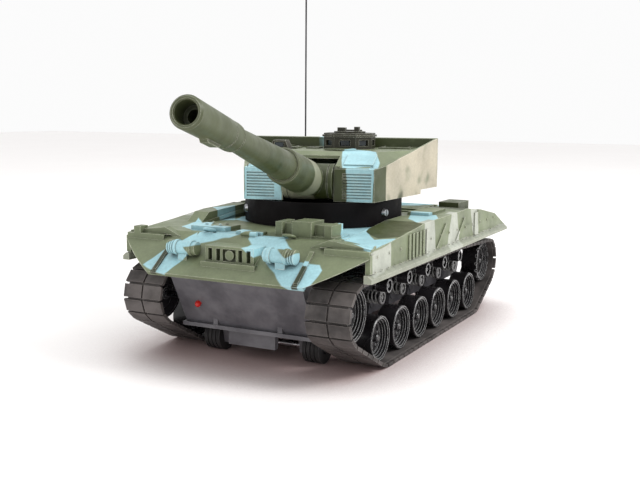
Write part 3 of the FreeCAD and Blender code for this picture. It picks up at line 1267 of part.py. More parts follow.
def hull_pieces():
    """Every piece of the hull body."""
    left_track = track()
    return {
        "lower_hull": lower_hull(),
        "upper_hull": upper_hull(),
        "battery_door": battery_door(),
        "battery_cells": battery_cells(),
        "circuit_board": circuit_board(),
        "gearboxes": gearboxes(),
        "drive_motors": drive_motors(),
        "track_left": left_track,
        "track_right": mirrored(left_track),
        "wheel_pins": wheel_pins(),
        "belly_axles": belly_axles(),
        "spring_units": spring_units(),
        "led_red": led_red(),
        "headlamps": headlamps(),
        "hull_screws": hull_screws(),
        "antenna_base": antenna_base(),
        "antenna": antenna(),
        "switch_body": switch_body(),
    }


def rolling_pieces():
    """Every piece that rolls by itself: the left side's, then their mirror images."""
    left = {"sprocket": sprocket(), "idler": idler()}
    for i, y in enumerate(WHEEL_YS):
        left[f"road_wheel_{i + 1}"] = road_wheel(y)
    for i, y in enumerate(ROLLER_YS):
        left[f"roller_{i + 1}"] = roller(y)
    left["belly_wheel_front"] = belly_wheel(FRONT_BELLY_Y)
    left["belly_wheel_rear"] = belly_wheel(REAR_BELLY_Y)
    pieces = {f"{name}_left": shape for name, shape in left.items()}
    pieces.update({f"{name}_right": mirrored(shape) for name, shape in left.items()})
    return pieces


def turret_pieces():
    """Every piece that turns with the turret, at its rest angle."""
    pieces = {
        "turret_base": turret_base(),
        "turret_screws": turret_screws(),
        "turret_shell": turret_shell(),
        "cupola": cupola(),
        "cupola_hatch": cupola_hatch(),
        "gunner_sight": gunner_sight(),
    }
    return {name: turned_turret(shape) for name, shape in pieces.items()}


def gun_pieces():
    """Every piece that rises with the gun, at its rest angles."""
    pieces = {
        "mantlet": mantlet(),
        "trunnion_pin": trunnion_pin(),
        "gun_sleeve": gun_sleeve(),
        "gun_barrel": gun_barrel(),
        "muzzle": muzzle(),
    }
    return {name: raised_gun(shape) for name, shape in pieces.items()}


def main():
    """Builds every piece, centres the tank on the origin and writes the STEP files."""
    pieces = {**hull_pieces(), **rolling_pieces(), "power_switch": power_switch()}
    pieces.update(turret_pieces())
    pieces.update(gun_pieces())
    whole = Part.makeCompound(list(pieces.values())).BoundBox
    shift = Vector(0, -(whole.YMin + whole.YMax) / 2, 0)
    os.makedirs("parts", exist_ok=True)
    for name, shape in pieces.items():
        shape.translate(shift)
        shape.exportStep(f"parts/{name}.step")
    return pieces, shift


PIECES, SHIFT = main()
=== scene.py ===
"""Looks of the toy tank: camera, light, paint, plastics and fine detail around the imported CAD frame."""

import json
import math

import bmesh
import bpy
from mathutils import Matrix, Vector

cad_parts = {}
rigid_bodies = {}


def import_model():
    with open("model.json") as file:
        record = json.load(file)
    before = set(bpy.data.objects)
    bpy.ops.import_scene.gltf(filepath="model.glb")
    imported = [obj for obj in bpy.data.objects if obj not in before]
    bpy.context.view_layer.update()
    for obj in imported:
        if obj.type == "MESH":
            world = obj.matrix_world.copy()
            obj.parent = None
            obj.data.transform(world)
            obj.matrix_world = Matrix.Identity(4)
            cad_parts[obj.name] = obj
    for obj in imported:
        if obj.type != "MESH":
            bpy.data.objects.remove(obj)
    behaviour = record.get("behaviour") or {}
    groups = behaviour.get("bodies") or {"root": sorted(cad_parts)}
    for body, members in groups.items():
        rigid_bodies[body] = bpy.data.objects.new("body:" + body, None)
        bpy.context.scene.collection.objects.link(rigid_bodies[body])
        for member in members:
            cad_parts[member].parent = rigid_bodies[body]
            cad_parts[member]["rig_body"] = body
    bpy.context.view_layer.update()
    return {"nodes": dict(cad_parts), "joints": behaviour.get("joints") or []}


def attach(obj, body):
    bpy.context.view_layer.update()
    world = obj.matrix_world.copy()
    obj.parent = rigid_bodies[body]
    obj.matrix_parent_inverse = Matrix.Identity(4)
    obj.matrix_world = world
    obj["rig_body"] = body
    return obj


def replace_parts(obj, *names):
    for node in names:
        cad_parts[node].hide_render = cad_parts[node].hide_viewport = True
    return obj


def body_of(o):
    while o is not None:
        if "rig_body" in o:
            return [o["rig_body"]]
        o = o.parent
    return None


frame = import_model()

# ---------------------------------------------------------------- places
# Points are written in the tank's own frame, in millimetres: the first road wheel's hub is at y = -66.
FIRST_WHEEL_Y = -66.0
JOINTS = {j["name"]: j for j in frame["joints"]}
SHIFT_Y = JOINTS["road_wheel_1_left_spin"]["pos_m"][1] - FIRST_WHEEL_Y / 1000
RING_Y = (JOINTS["turret_yaw"]["pos_m"][1] - SHIFT_Y) * 1000
TURRET_YAW = math.radians(14.0)
DECK_Z = 62.5


def place(x, y, z):
    """A point of the tank's own frame, in the row frame."""
    return Vector((x / 1000, y / 1000 + SHIFT_Y, z / 1000))


def turret_place(x, b, z):
    """A point given across and behind the turret ring's centre, with the turret at its rest yaw."""
    c, s = math.cos(TURRET_YAW), math.sin(TURRET_YAW)
    return place(x * c - b * s, RING_Y + x * s + b * c, z)


# ---------------------------------------------------------------- materials
def linear(*rgb):
    """A colour given as 0-255 screen values, as the shader wants it."""
    out = []
    for v in rgb:
        v = v / 255
        out.append(v / 12.92 if v <= 0.04045 else ((v + 0.055) / 1.055) ** 2.4)
    return (*out, 1.0)


class Paint:
    """Builds one procedural material from short calls. A value is a socket or a plain number or colour."""

    def __init__(self, name):
        self.material = bpy.data.materials.new(name)
        self.material.use_nodes = True
        self.tree = self.material.node_tree
        self.tree.nodes.clear()
        self.out = self.tree.nodes.new("ShaderNodeOutputMaterial")
        self.shader = self.tree.nodes.new("ShaderNodeBsdfPrincipled")
        self.tree.links.new(self.shader.outputs[0], self.out.inputs[0])
        self.coord = self.tree.nodes.new("ShaderNodeTexCoord").outputs["Object"]

    def feed(self, socket, value):
        if isinstance(value, bpy.types.NodeSocket):
            self.tree.links.new(value, socket)
        else:
            socket.default_value = value

    def set(self, name, value):
        self.feed(self.shader.inputs[name], value)

    def math(self, operation, a, b=0.0, c=0.0, clamp=False):
        node = self.tree.nodes.new("ShaderNodeMath")
        node.operation, node.use_clamp = operation, clamp
        for socket, value in zip(node.inputs, (a, b, c)):
            self.feed(socket, value)
        return node.outputs[0]

    def vector(self, operation, a, b=(0.0, 0.0, 0.0), scale=1.0):
        node = self.tree.nodes.new("ShaderNodeVectorMath")
        node.operation = operation
        self.feed(node.inputs[0], a)
        if operation == "SCALE":
            self.feed(node.inputs["Scale"], scale)
        else:
            self.feed(node.inputs[1], b)
        return node.outputs["Value" if operation in ("DOT_PRODUCT", "LENGTH") else "Vector"]

    def noise(self, scale, detail=3.0, roughness=0.55, at=None, colour=False):
        node = self.tree.nodes.new("ShaderNodeTexNoise")
        self.feed(node.inputs["Vector"], at or self.coord)
        for name, value in (("Scale", scale), ("Detail", detail), ("Roughness", roughness)):
            node.inputs[name].default_value = value
        return node.outputs["Color" if colour else "Fac"]

    def span(self, value, low, high, to_low=0.0, to_high=1.0):
        node = self.tree.nodes.new("ShaderNodeMapRange")
        node.interpolation_type = "SMOOTHSTEP"
        for socket, v in zip(node.inputs[:5], (value, low, high, to_low, to_high)):
            self.feed(socket, v)
        return node.outputs[0]

    def mix(self, share, a, b, blend="MIX"):
        node = self.tree.nodes.new("ShaderNodeMix")
        node.data_type, node.blend_type = "RGBA", blend
        self.feed(node.inputs[0], share)
        self.feed(node.inputs[6], a)
        self.feed(node.inputs[7], b)
        return node.outputs[2]

    def split(self, value):
        node = self.tree.nodes.new("ShaderNodeSeparateXYZ")
        self.feed(node.inputs[0], value)
        return node.outputs[0], node.outputs[1], node.outputs[2]

    def edges(self, radius, low=0.02, high=0.25):
        """1 on sharp outer and inner edges, 0 on flat faces."""
        bevel = self.tree.nodes.new("ShaderNodeBevel")
        bevel.samples = 4
        bevel.inputs["Radius"].default_value = radius
        flat = self.tree.nodes.new("ShaderNodeNewGeometry").outputs["Normal"]
        return self.span(self.vector("DOT_PRODUCT", bevel.outputs[0], flat), 1 - low, 1 - high)

    def hollow(self, distance):
        """0 in corners and gaps, 1 on open faces."""
        node = self.tree.nodes.new("ShaderNodeAmbientOcclusion")
        node.samples, node.inside = 4, False
        node.inputs["Distance"].default_value = distance
        return node.outputs["AO"]

    def bump(self, height, strength, distance):
        """A normal from a height."""
        node = self.tree.nodes.new("ShaderNodeBump")
        node.inputs["Strength"].default_value = strength
        node.inputs["Distance"].default_value = distance
        self.feed(node.inputs["Height"], height)
        return node.outputs[0]


# ---------------------------------------------------------------- camouflage
KHAKI, OLIVE, BLUE = linear(112, 121, 92), linear(58, 66, 33), linear(158, 200, 208)
PALE, SAND = linear(166, 170, 158), linear(176, 168, 148)
DARK_STRIP, LIGHT_KHAKI = linear(50, 56, 36), linear(136, 138, 116)
# Each patch: its paint, the two axes of its outline, the convex outline itself in millimetres,
# and how far it reaches along the third axis.
HULL_PATCHES = [
    (OLIVE, "xy", [(37, -33), (63, -31), (65.6, -36), (65.6, -66), (58, -73), (46, -62)], (58, 90)),
    (OLIVE, "xy", [(-74, -104), (-34, -104), (-38, -90), (-74, -84)], (64.2, 90)),
    (OLIVE, "xy", [(-40, 40), (-10, 52), (0, 80), (-30, 96), (-65.6, 84), (-65.6, 50)], (40, 90)),
    (OLIVE, "xy", [(30, 34), (65.6, 24), (65.6, 56), (44, 70)], (58, 90)),
    (OLIVE, "xy", [(-65.6, -30), (-48, -26), (-46, -8), (-65.6, -2)], (58, 90)),
    (BLUE, "xy", [(24, -26), (38, -28), (46, -60), (40, -78), (28, -60)], (58, 90)),
    (BLUE, "xy", [(39, -79), (46, -60), (57, -76), (55, -95), (45, -82)], (58, 90)),
    (BLUE, "xy", [(56, -76), (65.6, -70), (65.6, -100), (62, -98), (54, -95)], (58, 90)),
    (BLUE, "xy", [(47, -4), (60, -2), (65.6, -14), (65.6, -29), (61, -33), (52, -22)], (58, 90)),
    (BLUE, "xy", [(-46, -33), (-38, -46), (-45, -52), (-53, -44)], (58, 90)),
    (BLUE, "xy", [(-49, -64), (-33, -73), (-24, -90), (-34, -91), (-48, -80)], (58, 90)),
    (BLUE, "xy", [(-43, -28), (-26, -28), (-29, -48), (-40, -44)], (58, 90)),
    (BLUE, "xy", [(-8, 50), (24, 58), (40, 84), (30, 112), (-4, 96)], (40, 90)),
    (BLUE, "xy", [(-65.6, 8), (-46, 4), (-40, 26), (-56, 44), (-65.6, 36)], (58, 90)),
    (BLUE, "xz", [(-46, 47.5), (-32, 44.5), (-22, 55), (-28, 62), (-41, 54)], (-125, -80)),
    (BLUE, "xz", [(-30, 55), (-21, 55.5), (-9, 61), (1, 63), (1, 68), (-24, 68)], (-125, -84)),
    (BLUE, "xz", [(2, 67), (2, 61.6), (35, 43.5), (43, 43.5), (31, 56), (18, 65)], (-125, -90)),
    (BLUE, "xz", [(26, 54), (34, 46), (44, 43.5), (47, 52), (38, 61)], (-125, -106)),
    (BLUE, "xz", [(-50, 40), (-30, 40), (-24, 62), (-48, 58)], (90, 125)),
    (DARK_STRIP, "xy", [(-39.4, -118), (-36.6, -118), (-36.6, -100), (-39.4, -100)], (44, 70)),
    (DARK_STRIP, "xy", [(36.6, -118), (39.4, -118), (39.4, -108), (36.6, -108)], (44, 70)),
]
SKIRT_OUTLINES = [
    [(-99, 60), (-77, 62), (-76, 51), (-99, 49)],
    [(-34.5, 68), (-21, 68), (-18, 51), (-33, 49)],
    [(6, 68), (14, 68), (21, 46), (-1, 46), (2, 57)],
    [(36, 69), (49, 69), (51, 50), (44, 50)],
]
FLANGE_OUTLINE = [(-110, 40), (-110, 50.6), (120, 51.4), (120, 40)]
FLANGE_GREY = linear(138, 142, 126)
HULL_PATCHES.append((FLANGE_GREY, "yz", FLANGE_OUTLINE, (62, 70)))
HULL_PATCHES.append((FLANGE_GREY, "yz", FLANGE_OUTLINE, (-70, -62)))
for outline in SKIRT_OUTLINES:
    HULL_PATCHES.append((PALE, "yz", outline, (62, 70)))
    HULL_PATCHES.append((PALE, "yz", [(-y - 4, z) for y, z in outline], (-70, -62)))
TURRET_PATCHES = [
    (OLIVE, "xy", [(-54, 41), (54, 41), (37, -16), (-37, -16)], (100.3, 120)),
    (OLIVE, "xy", [(-52, 4), (-20, 8), (-14, 40), (-52, 46)], (90, 101)),
    (OLIVE, "xz", [(12.5, 60), (20.4, 60), (20.4, 92.5), (12.5, 92.5)], (-60, -26)),
    (BLUE, "xz", [(-33.6, 60), (-14, 60), (-14, 93), (-33.6, 93)], (-60, -26)),
    (BLUE, "xy", [(-34, -30), (-20, -30), (-16, -16), (-32, -18)], (90, 110)),
    (BLUE, "xz", [(20, 60), (32.6, 60), (33.4, 84), (33.6, 93.2), (20, 93.2)], (-60, -26)),
    (OLIVE, "xy", [(33.0, -37), (37.0, -22.3), (42, -22.3), (42, -37)], (60, 95)),
    (OLIVE, "xz", [(39, 60), (39, 78.6), (60, 80), (60, 60)], (-20, 50)),
    (BLUE, "xy", [(13, -8), (16, 8), (27, -4), (34, -22), (34.6, -31), (18, -34), (14, -20)], (92.4, 112)),
    (BLUE, "xy", [(-12, 40.5), (16, 40.5), (30, 60), (-8, 60)], (60, 120)),
    (SAND, "xy", [(37.6, -22.2), (56.4, 42), (64, 42), (64, -22.2)], (60, 120)),
    (SAND, "xy", [(-37.6, -22.2), (-56.4, 42), (-64, 42), (-64, -22.2)], (60, 120)),
    (KHAKI, "xy", [(-50, 10), (-62, 10), (-62, 34), (-56, 34)], (60, 120)),
]
GUN_PATCHES = [
    (LIGHT_KHAKI, "xy", [(-20, -57), (20, -57), (20, -10), (-20, -10)], (-300, 300)),
    (OLIVE, "xy", [(3, -44), (20, -44), (20, -10), (3, -10)], (-300, 300)),
    (OLIVE, "xy", [(-20, -128), (20, -118), (20, -100), (-20, -108)], (-300, 300)),
]
AXES = {"xy": (0, 1, 2), "xz": (0, 2, 1), "yz": (1, 2, 0)}
EDGE_SOFTNESS = 0.35
CREVICE = 0.003
RAGGEDNESS = 2.4


def inside(paint, parts, patch):
    """1 inside a patch's outline, which is convex, and 0 outside."""
    _, plane, outline, (low, high) = patch
    a, b, depth = (parts[i] for i in AXES[plane])
    count = len(outline)
    following = outline[1:] + outline[:1]
    area = sum(p[0] * q[1] - q[0] * p[1] for p, q in zip(outline, following))
    points = outline if area > 0 else outline[::-1]
    reach = paint.math("MINIMUM", paint.math("SUBTRACT", depth, low), paint.math("SUBTRACT", high, depth))
    for i in range(count):
        (x0, y0), (x1, y1) = points[i], points[(i + 1) % count]
        length = math.hypot(x1 - x0, y1 - y0)
        nx, ny = -(y1 - y0) / length, (x1 - x0) / length
        across = paint.math("MULTIPLY_ADD", b, ny, -(x0 * nx + y0 * ny))
        along = paint.math("MULTIPLY_ADD", a, nx, across)
        reach = paint.math("MINIMUM", reach, along)
    return paint.span(reach, -EDGE_SOFTNESS, EDGE_SOFTNESS)


def local_millimetres(paint, turned=False):
    """Object coordinates in the tank's own frame, or the turret's, in millimetres, with a ragged brush edge."""
    node = paint.tree.nodes.new("ShaderNodeMapping")
    node.vector_type = "TEXTURE" if turned else "POINT"
    origin = (0.0, RING_Y / 1000 + SHIFT_Y, 0.0) if turned else (0.0, -SHIFT_Y, 0.0)
    node.inputs["Location"].default_value = origin
    if turned:
        node.inputs["Rotation"].default_value = (0.0, 0.0, TURRET_YAW)
    paint.feed(node.inputs["Vector"], paint.coord)
    ragged = paint.vector("SUBTRACT", paint.noise(90.0, 1.0, colour=True), (0.5, 0.5, 0.5))
    scaled = paint.vector("SCALE", node.outputs[0], scale=1000.0)
    return paint.vector("ADD", scaled, paint.vector("SCALE", ragged, scale=RAGGEDNESS))


def camouflage(name, patches, turned=False, base=KHAKI):
    """Satin camouflage paint on plastic: patches, mottling, a painted highlight along edges, painted shade in
    the corners.
    """
    p = Paint(name)
    here = local_millimetres(p, turned)
    parts = p.split(here)
    colour = base
    for patch in patches:
        colour = p.mix(inside(p, parts, patch), colour, patch[0])
    cloud = p.span(p.noise(45.0, 4.0, 0.6), 0.35, 0.65, 0.86, 1.08)
    grain = p.span(p.noise(900.0, 2.0, 0.5), 0.3, 0.7, 0.94, 1.05)
    shade = p.math("MULTIPLY", cloud, grain)
    colour = p.mix(1.0, colour, p.vector("SCALE", (1.0, 1.0, 1.0), scale=shade), "MULTIPLY")
    # Painted highlight: edges are lightened towards a pale cream, broken up by noise.
    edge_highlight = p.edges(0.0005)
    broken_edge_highlight = p.math("MULTIPLY", edge_highlight, p.span(p.noise(260.0, 3.0), 0.3, 0.7, 0.25, 0.75))
    colour = p.mix(broken_edge_highlight, colour, linear(226, 226, 208))
    # Painted shade: corners and gaps are darkened towards a dark olive by ambient occlusion.
    painted_corner_shade = p.math("MULTIPLY", p.math("SUBTRACT", 1.0, p.hollow(0.0035)), 0.75, clamp=True)
    colour = p.mix(painted_corner_shade, colour, linear(30, 32, 22))
    p.set("Base Color", colour)
    p.set("Roughness", p.span(p.noise(120.0, 3.0), 0.3, 0.7, 0.38, 0.56))
    p.set("Normal", p.bump(p.noise(1600.0, 2.0), 0.12, 0.0002))
    p.set("Specular IOR Level", 0.45)
    return p.material


def moulded(name, colour, dark, light, roughness=(0.35, 0.55), edge=0.5, bump=0.1, grain=1400.0,
            metallic=0.0):
    """Bare plastic, rubber or metal: cloudy tone, a painted highlight along edges, painted shade in corners, a
    fine grain.
    """
    p = Paint(name)
    tone = p.span(p.noise(60.0, 4.0, 0.6), 0.3, 0.7)
    shade = p.mix(tone, dark, colour)
    # Painted highlight: edges are lightened towards the light colour.
    edge_highlight = p.math("MULTIPLY", p.edges(0.0004), p.span(p.noise(300.0, 2.0), 0.3, 0.7, 0.5 * edge, edge))
    shade = p.mix(edge_highlight, shade, light)
    # Painted shade: corners and gaps are darkened towards the dark colour.
    painted_corner_shade = p.math("MULTIPLY", p.math("SUBTRACT", 1.0, p.hollow(CREVICE)), 0.7, clamp=True)
    shade = p.mix(painted_corner_shade, shade, dark)
    p.set("Base Color", shade)
    p.set("Metallic", metallic)
    p.set("Roughness", p.span(p.noise(150.0, 3.0), 0.3, 0.7, *roughness))
    p.set("Normal", p.bump(p.noise(grain, 2.0), bump, 0.0002))
    return p.material


HULL_PAINT = camouflage("hull_paint", HULL_PATCHES)
TURRET_PAINT = camouflage("turret_paint", TURRET_PATCHES, turned=True)
GUN_PAINT = camouflage("gun_paint", GUN_PATCHES, turned=True, base=linear(70, 76, 48))
DARK_PAINT = camouflage("dark_paint", [], turned=True, base=linear(38, 36, 16))
# In each moulded material the third colour is a painted highlight along edges, and the second colour is also
# the painted shade in corners.
GREY = moulded("grey_plastic", linear(104, 102, 106), linear(70, 68, 73), linear(160, 158, 160))
DRUM_GLOSS = 0.12
BLACK = moulded("black_plastic", linear(34, 33, 35), linear(12, 11, 12), linear(196, 196, 196),
                (0.28, 0.42), 0.85)
DRUM = moulded("drum_plastic", linear(15, 11, 13), linear(8, 6, 7), linear(70, 66, 68),
               (0.55, 0.7), 0.4)
DRUM.node_tree.nodes["Principled BSDF"].inputs["Specular IOR Level"].default_value = DRUM_GLOSS
RUBBER = moulded("track_rubber", linear(92, 86, 84), linear(44, 40, 39), linear(150, 142, 136),
                 (0.6, 0.8), 0.6, 0.35, 900.0)
TYRE = moulded("tyre_rubber", linear(46, 44, 45), linear(20, 19, 20), linear(110, 108, 106),
               (0.6, 0.8), 0.5, 0.3)
STEEL = moulded("screw_steel", linear(205, 205, 208), linear(120, 120, 124), linear(240, 240, 240),
                (0.2, 0.35), 0.4, 0.05, metallic=1.0)
WIRE = moulded("antenna_wire", linear(70, 68, 70), linear(34, 33, 34), linear(120, 120, 120),
               (0.3, 0.45), 0.3, 0.05, metallic=0.6)
LED = moulded("red_lens", linear(222, 30, 18), linear(150, 8, 4), linear(255, 120, 100), (0.12, 0.2), 0.4, 0.03)
CELL = moulded("cell_wrap", linear(60, 120, 90), linear(30, 70, 50), linear(150, 190, 170))
BOARD = moulded("circuit_board", linear(36, 96, 56), linear(16, 52, 30), linear(120, 170, 130))
CASE = moulded("gear_case", linear(214, 208, 196), linear(160, 154, 140), linear(240, 236, 228))

GUN_NODES = ("mantlet", "gun_sleeve", "gun_barrel", "muzzle")
COIL = moulded("spring_wire", linear(168, 168, 166), linear(60, 58, 58), linear(225, 225, 225),
               (0.25, 0.4), 0.6, metallic=0.4)
# Painted highlight: near-white edges at full share paint the caps' glints.
CAP = moulded("spring_caps", linear(52, 50, 52), linear(16, 15, 16), linear(232, 232, 230),
              (0.25, 0.4), 1.0)
# Painted highlight: near-white edges at full share paint the wheels' bright rims.
WHEEL = moulded("wheel_plastic", linear(34, 32, 35), linear(10, 9, 10), linear(236, 236, 236),
                (0.24, 0.38), 1.0)
GLASS = moulded("window_glass", linear(40, 52, 58), linear(16, 20, 24), linear(150, 170, 178),
                (0.08, 0.16), 0.4, 0.02)
MATERIALS = {
    "upper_hull": HULL_PAINT, "headlamps": HULL_PAINT, "lower_hull": GREY, "battery_door": GREY,
    "turret_shell": TURRET_PAINT, "cupola": DARK_PAINT, "cupola_hatch": DARK_PAINT, "gunner_sight": DARK_PAINT,
    "turret_base": DRUM, "track_left": RUBBER, "track_right": RUBBER,
    "hull_screws": STEEL, "turret_screws": STEEL, "wheel_pins": STEEL,
    "belly_axles": STEEL, "trunnion_pin": STEEL, "drive_motors": STEEL, "switch_body": STEEL, "antenna": WIRE,
    "led_red": LED, "battery_cells": CELL, "circuit_board": BOARD, "gearboxes": CASE,
}


def material_for(node):
    """The material of a CAD node, by its name."""
    if node in GUN_NODES:
        return GUN_PAINT
    if node.startswith("belly_wheel"):
        return TYRE
    if node.startswith(("road_wheel", "idler", "sprocket", "roller")):
        return WHEEL
    return MATERIALS.get(node, BLACK)


for name, node in frame["nodes"].items():
    node.data.materials.clear()
    node.data.materials.append(material_for(name))


# ---------------------------------------------------------------- fine detail, built point by point
class Sketch:
    """Collects the faces of one detail piece, in millimetres, before it joins the frame."""

    def __init__(self, turned=False):
        self.mesh = bmesh.new()
        self.to_frame = turret_place if turned else place

    def ring(self, centre, across, up, radius, sides):
        """A ring of points about a centre."""
        points = []
        for k in range(sides):
            a = 2 * math.pi * k / sides
            point = centre + across * math.cos(a) * radius + up * math.sin(a) * radius
            points.append(self.mesh.verts.new(self.to_frame(*point)))
        return points

    def skin(self, rings):
        """Faces between neighbouring rings, with both ends closed."""
        for low, high in zip(rings, rings[1:]):
            for k in range(len(low)):
                n = (k + 1) % len(low)
                self.mesh.faces.new((low[k], low[n], high[n], high[k]))
        self.mesh.faces.new(rings[0][::-1])
        self.mesh.faces.new(rings[-1])

    def lathe(self, at, axis, outline, sides=12):
        """A turned part: (along, radius) points about an axis."""
        at, axis = Vector(at), Vector(axis).normalized()
        across = axis.orthogonal().normalized()
        up = axis.cross(across)
        rings = [self.ring(at + axis * along, across, up, radius, sides) for along, radius in outline]
        self.skin(rings)

    def wire(self, points, radius, sides=6):
        """A round wire through points."""
        rings = []
        for k, point in enumerate(points):
            way = (points[min(k + 1, len(points) - 1)] - points[max(k - 1, 0)]).normalized()
            across = way.cross(Vector((0.31, 0.17, 0.93))).normalized()
            rings.append(self.ring(point, across, way.cross(across), radius, sides))
        self.skin(rings)

    def bolt(self, at, axis, size=1.0, sides=6):
        """A bolt head on a washer, with rounded shoulders."""
        washer = [(-0.1, size), (0.16 * size, size), (0.2 * size, 0.92 * size)]
        head = [(0.0, 0.66 * size), (0.5 * size, 0.66 * size), (0.62 * size, 0.54 * size)]
        self.lathe(at, axis, washer, 16)
        self.lathe(at, axis, head, sides)

    def pane(self, corners, push, lean):
        """A window pane with a slanted border, from four corners and a push towards its front."""
        centre = sum((Vector(c) for c in corners), Vector()) / 4
        back = [Vector(c) for c in corners]
        front = [c + (centre - c) * lean + Vector(push) for c in back]
        low = [self.mesh.verts.new(self.to_frame(*p)) for p in back]
        high = [self.mesh.verts.new(self.to_frame(*p)) for p in front]
        self.skin([low, high])

    def done(self, name, node, material, slot=None, smooth=False):
        """Turns the faces into a piece that rides a CAD node's body; the slot argument is not used."""
        bmesh.ops.recalc_face_normals(self.mesh, faces=self.mesh.faces)
        data = bpy.data.meshes.new(name)
        self.mesh.to_mesh(data)
        self.mesh.free()
        piece = bpy.data.objects.new(name, data)
        bpy.context.scene.collection.objects.link(piece)
        data.materials.append(material)
        for face in data.polygons:
            face.use_smooth = smooth
        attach(piece, body_of(frame["nodes"][node])[0])
        return piece


WHEEL_PITCH, WHEEL_COUNT, SKIRT_X, SPRING_Z = 26.5, 6, 66.0, 30.55
SIDES = (("left", 1), ("right", -1))
COIL_TURNS, COIL_STEPS = 6, 14
COIL_IN_X, COIL_RUN, COIL_R, COIL_WIRE_R = 38.2, 12.2, 3.1, 0.52
TUB_X = 36
CAP_OUTLINE = [
    (0, 3.8), (1.6, 3.8), (2.1, 3.3), (2.1, 1.7), (14.6, 1.7), (14.6, 3.2), (14.9, 3.7),
    (15.6, 3.7), (16.0, 3.3), (16.0, 2.5), (15.2, 2.2), (15.2, 1.2), (15.7, 1.0),
]
UP = (0, 0, 1)

coils, caps = Sketch(), Sketch()
for _, side in SIDES:
    for i in range(WHEEL_COUNT - 1):
        y = FIRST_WHEEL_Y + WHEEL_PITCH * (i + 0.5)
        path = []
        for k in range(COIL_TURNS * COIL_STEPS + 1):
            a = 2 * math.pi * k / COIL_STEPS
            x = COIL_IN_X + COIL_RUN * k / (COIL_TURNS * COIL_STEPS)
            path.append(Vector((side * x, y + COIL_R * math.cos(a), SPRING_Z + COIL_R * math.sin(a))))
        coils.wire(path, COIL_WIRE_R)
        caps.lathe((side * TUB_X, y, SPRING_Z), (side, 0, 0), CAP_OUTLINE, 20)
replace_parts(coils.done("coil_springs", "spring_units", COIL, "steel", True), "spring_units")
caps.done("spring_caps", "spring_units", CAP, "black")

WHEEL_Z, WHEEL_DISC_X = 13.5, 52.8
HUB_BOLTS, HUB_BOLT_RING, HUB_BOLT_TURN, HUB_BOLT_SIZE = 5, 5.1, 0.3, 0.8
for word, side in SIDES:
    for i in range(WHEEL_COUNT):
        node = f"road_wheel_{i + 1}_{word}"
        hub_y = FIRST_WHEEL_Y + WHEEL_PITCH * i
        bolts = Sketch()
        for k in range(HUB_BOLTS):
            a = 2 * math.pi * k / HUB_BOLTS + HUB_BOLT_TURN
            y = hub_y + HUB_BOLT_RING * math.cos(a)
            z = WHEEL_Z + HUB_BOLT_RING * math.sin(a)
            bolts.bolt((side * WHEEL_DISC_X, y, z), (side, 0, 0), HUB_BOLT_SIZE)
        bolts.done(f"bolts_{node}", node, BLACK, "black")

SKIRT_BOLTS, SKIRT_BOLT_START, SKIRT_BOLT_PITCH, SKIRT_BOLT_Z = 14, -92, 13.4, 57.4
RIBS_FROM, RIBS_TO = -60, -26
FLANGE_BOLTS, FLANGE_BOLT_START, FLANGE_BOLT_PITCH, FLANGE_BOLT_Z = 26, -96, 7.4, 51.22
PLATE_BOLTS = [
    (-30, -84, 65.2), (-30, -78, 65.2), (-22, -84, 65.2), (-22, -78, 65.2), (30, 46, 63.2),
    (30, 56, 63.2), (-30, 46, 63.2), (-30, 56, 63.2), (24, -84, DECK_Z + 0.02),
    (30, -84, DECK_Z + 0.02),
]
bolts, beads = Sketch(), Sketch()
for _, side in SIDES:
    for k in range(SKIRT_BOLTS):
        y = SKIRT_BOLT_START + SKIRT_BOLT_PITCH * k
        if not RIBS_FROM < y < RIBS_TO:
            bolts.bolt((side * (SKIRT_X + 0.02), y, SKIRT_BOLT_Z), (side, 0, 0), 0.85)
    for k in range(FLANGE_BOLTS):
        y = FLANGE_BOLT_START + FLANGE_BOLT_PITCH * k
        beads.bolt((side * (SKIRT_X + 1.0), y, FLANGE_BOLT_Z), UP, 0.55)
for at in PLATE_BOLTS:
    bolts.bolt(at, UP, 0.9)
bolts.done("skirt_bolts", "upper_hull", HULL_PAINT, "painted")
beads.done("flange_bolts", "upper_hull", HULL_PAINT, "painted")

ROOF_BOLTS = [
    (-29, 9, 100.9), (-19, 17, 100.9), (28, 24, 100.8), (42, 24, 100.8), (28, 32, 100.8),
    (42, 32, 100.8), (-42, 26, 101), (-28, 26, 101), (-42, 34, 101), (-28, 34, 101),
]
rivets = Sketch(turned=True)
for at in ROOF_BOLTS:
    rivets.bolt(at, UP, 0.8)
rivets.done("turret_rivets", "turret_shell", TURRET_PAINT, "painted")

CUPOLA_X, CUPOLA_B, PANE_REACH = 9.5, 23.0, 12.15
PANE_CORNERS = ((-2.9, 101.9), (2.9, 101.9), (2.9, 104.9), (-2.9, 104.9))
glass = Sketch(turned=True)
for k in range(8):
    a = math.radians(45 * k)
    out = Vector((math.sin(a), -math.cos(a), 0))
    along = Vector((math.cos(a), math.sin(a), 0))
    middle = Vector((CUPOLA_X, CUPOLA_B, 0)) + out * PANE_REACH
    corners = [middle + along * u + Vector((0, 0, z)) for u, z in PANE_CORNERS]
    glass.pane(corners, out * 0.6, 0.18)
glass.done("periscope_glass", "cupola", GLASS)

SIGHT_PANE = [(-26.5, -3.42, 101.3), (-21.5, -3.42, 101.3), (-21.5, -3.42, 103.9), (-26.5, -3.42, 103.9)]
sight = Sketch(turned=True)
sight.pane(SIGHT_PANE, (0, -0.4, 0), 0.16)
sight.done("sight_glass", "gunner_sight", GLASS)

# ---------------------------------------------------------------- camera, floor and light
CAMERA_AT = place(227.05, -459.49, 122.66)
CAMERA_YAW, CAMERA_PITCH, CAMERA_ROLL = 0.47665, 0.14344, 0.007513
FOCAL_PIXELS, FRAME_WIDTH = 917.586, 640

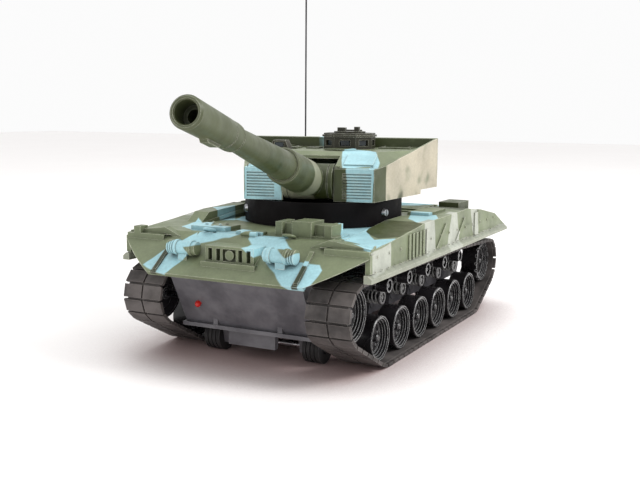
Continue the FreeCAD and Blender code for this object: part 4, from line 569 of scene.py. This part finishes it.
camera = bpy.data.objects.new("camera", bpy.data.cameras.new("camera"))
bpy.context.scene.collection.objects.link(camera)
bpy.context.scene.camera = camera
camera.data.lens = FOCAL_PIXELS / FRAME_WIDTH * camera.data.sensor_width
camera.data.clip_start, camera.data.clip_end = 0.01, 50.0
level = math.cos(CAMERA_PITCH)
forward = Vector((-math.sin(CAMERA_YAW) * level, math.cos(CAMERA_YAW) * level, -math.sin(CAMERA_PITCH)))
camera.rotation_mode = "QUATERNION"
roll = Matrix.Rotation(CAMERA_ROLL, 3, "Z").to_quaternion()
camera.rotation_quaternion = forward.to_track_quat("-Z", "Y") @ roll
camera.location = CAMERA_AT

floor_mesh = bpy.data.meshes.new("floor")
FLOOR_REACH = 3.0
floor_corners = [(x * FLOOR_REACH, y * FLOOR_REACH, 0) for x, y in ((-1, -1), (1, -1), (1, 1), (-1, 1))]
floor_mesh.from_pydata(floor_corners, [], [(0, 1, 2, 3)])
floor = bpy.data.objects.new("floor", floor_mesh)
bpy.context.scene.collection.objects.link(floor)
cloth = Paint("floor_white")
# Painted shadow: the floor turns a warm grey wherever ambient occlusion finds the tank close by.
PAINTED_SHADOW_REACH = 0.07
painted_shadow_fade = cloth.span(cloth.hollow(PAINTED_SHADOW_REACH), 0.25, 0.95)
open_floor = cloth.mix(cloth.noise(6.0), linear(246, 243, 242), linear(250, 248, 247))
cloth.set("Base Color", cloth.mix(painted_shadow_fade, linear(172, 148, 146), open_floor))
cloth.set("Roughness", 0.7)
floor.data.materials.append(cloth.material)

world = bpy.data.worlds.new("studio")
bpy.context.scene.world = world
world.use_nodes = True
WORLD_STRENGTH = 0.97
background = world.node_tree.nodes["Background"]
background.inputs[0].default_value = (1.0, 1.0, 1.0, 1.0)
background.inputs[1].default_value = WORLD_STRENGTH


def area_light(name, at, towards, size, power):
    """A round soft lamp turned towards a point."""
    lamp = bpy.data.objects.new(name, bpy.data.lights.new(name, "AREA"))
    bpy.context.scene.collection.objects.link(lamp)
    lamp.data.shape, lamp.data.size, lamp.data.energy = "DISK", size, power
    lamp.location = at
    lamp.rotation_mode = "QUATERNION"
    lamp.rotation_quaternion = (Vector(towards) - Vector(at)).to_track_quat("-Z", "Y")


area_light("key", (0.95, 0.35, 0.85), (0.0, 0.0, 0.05), 0.5, 9.5)
area_light("top", (-0.1, 0.1, 1.3), (0.0, 0.0, 0.0), 0.6, 3.0)
area_light("front", (0.1, -1.3, 0.8), (0.0, 0.0, 0.05), 0.8, 2.0)
bpy.context.scene.view_settings.view_transform = "Standard"
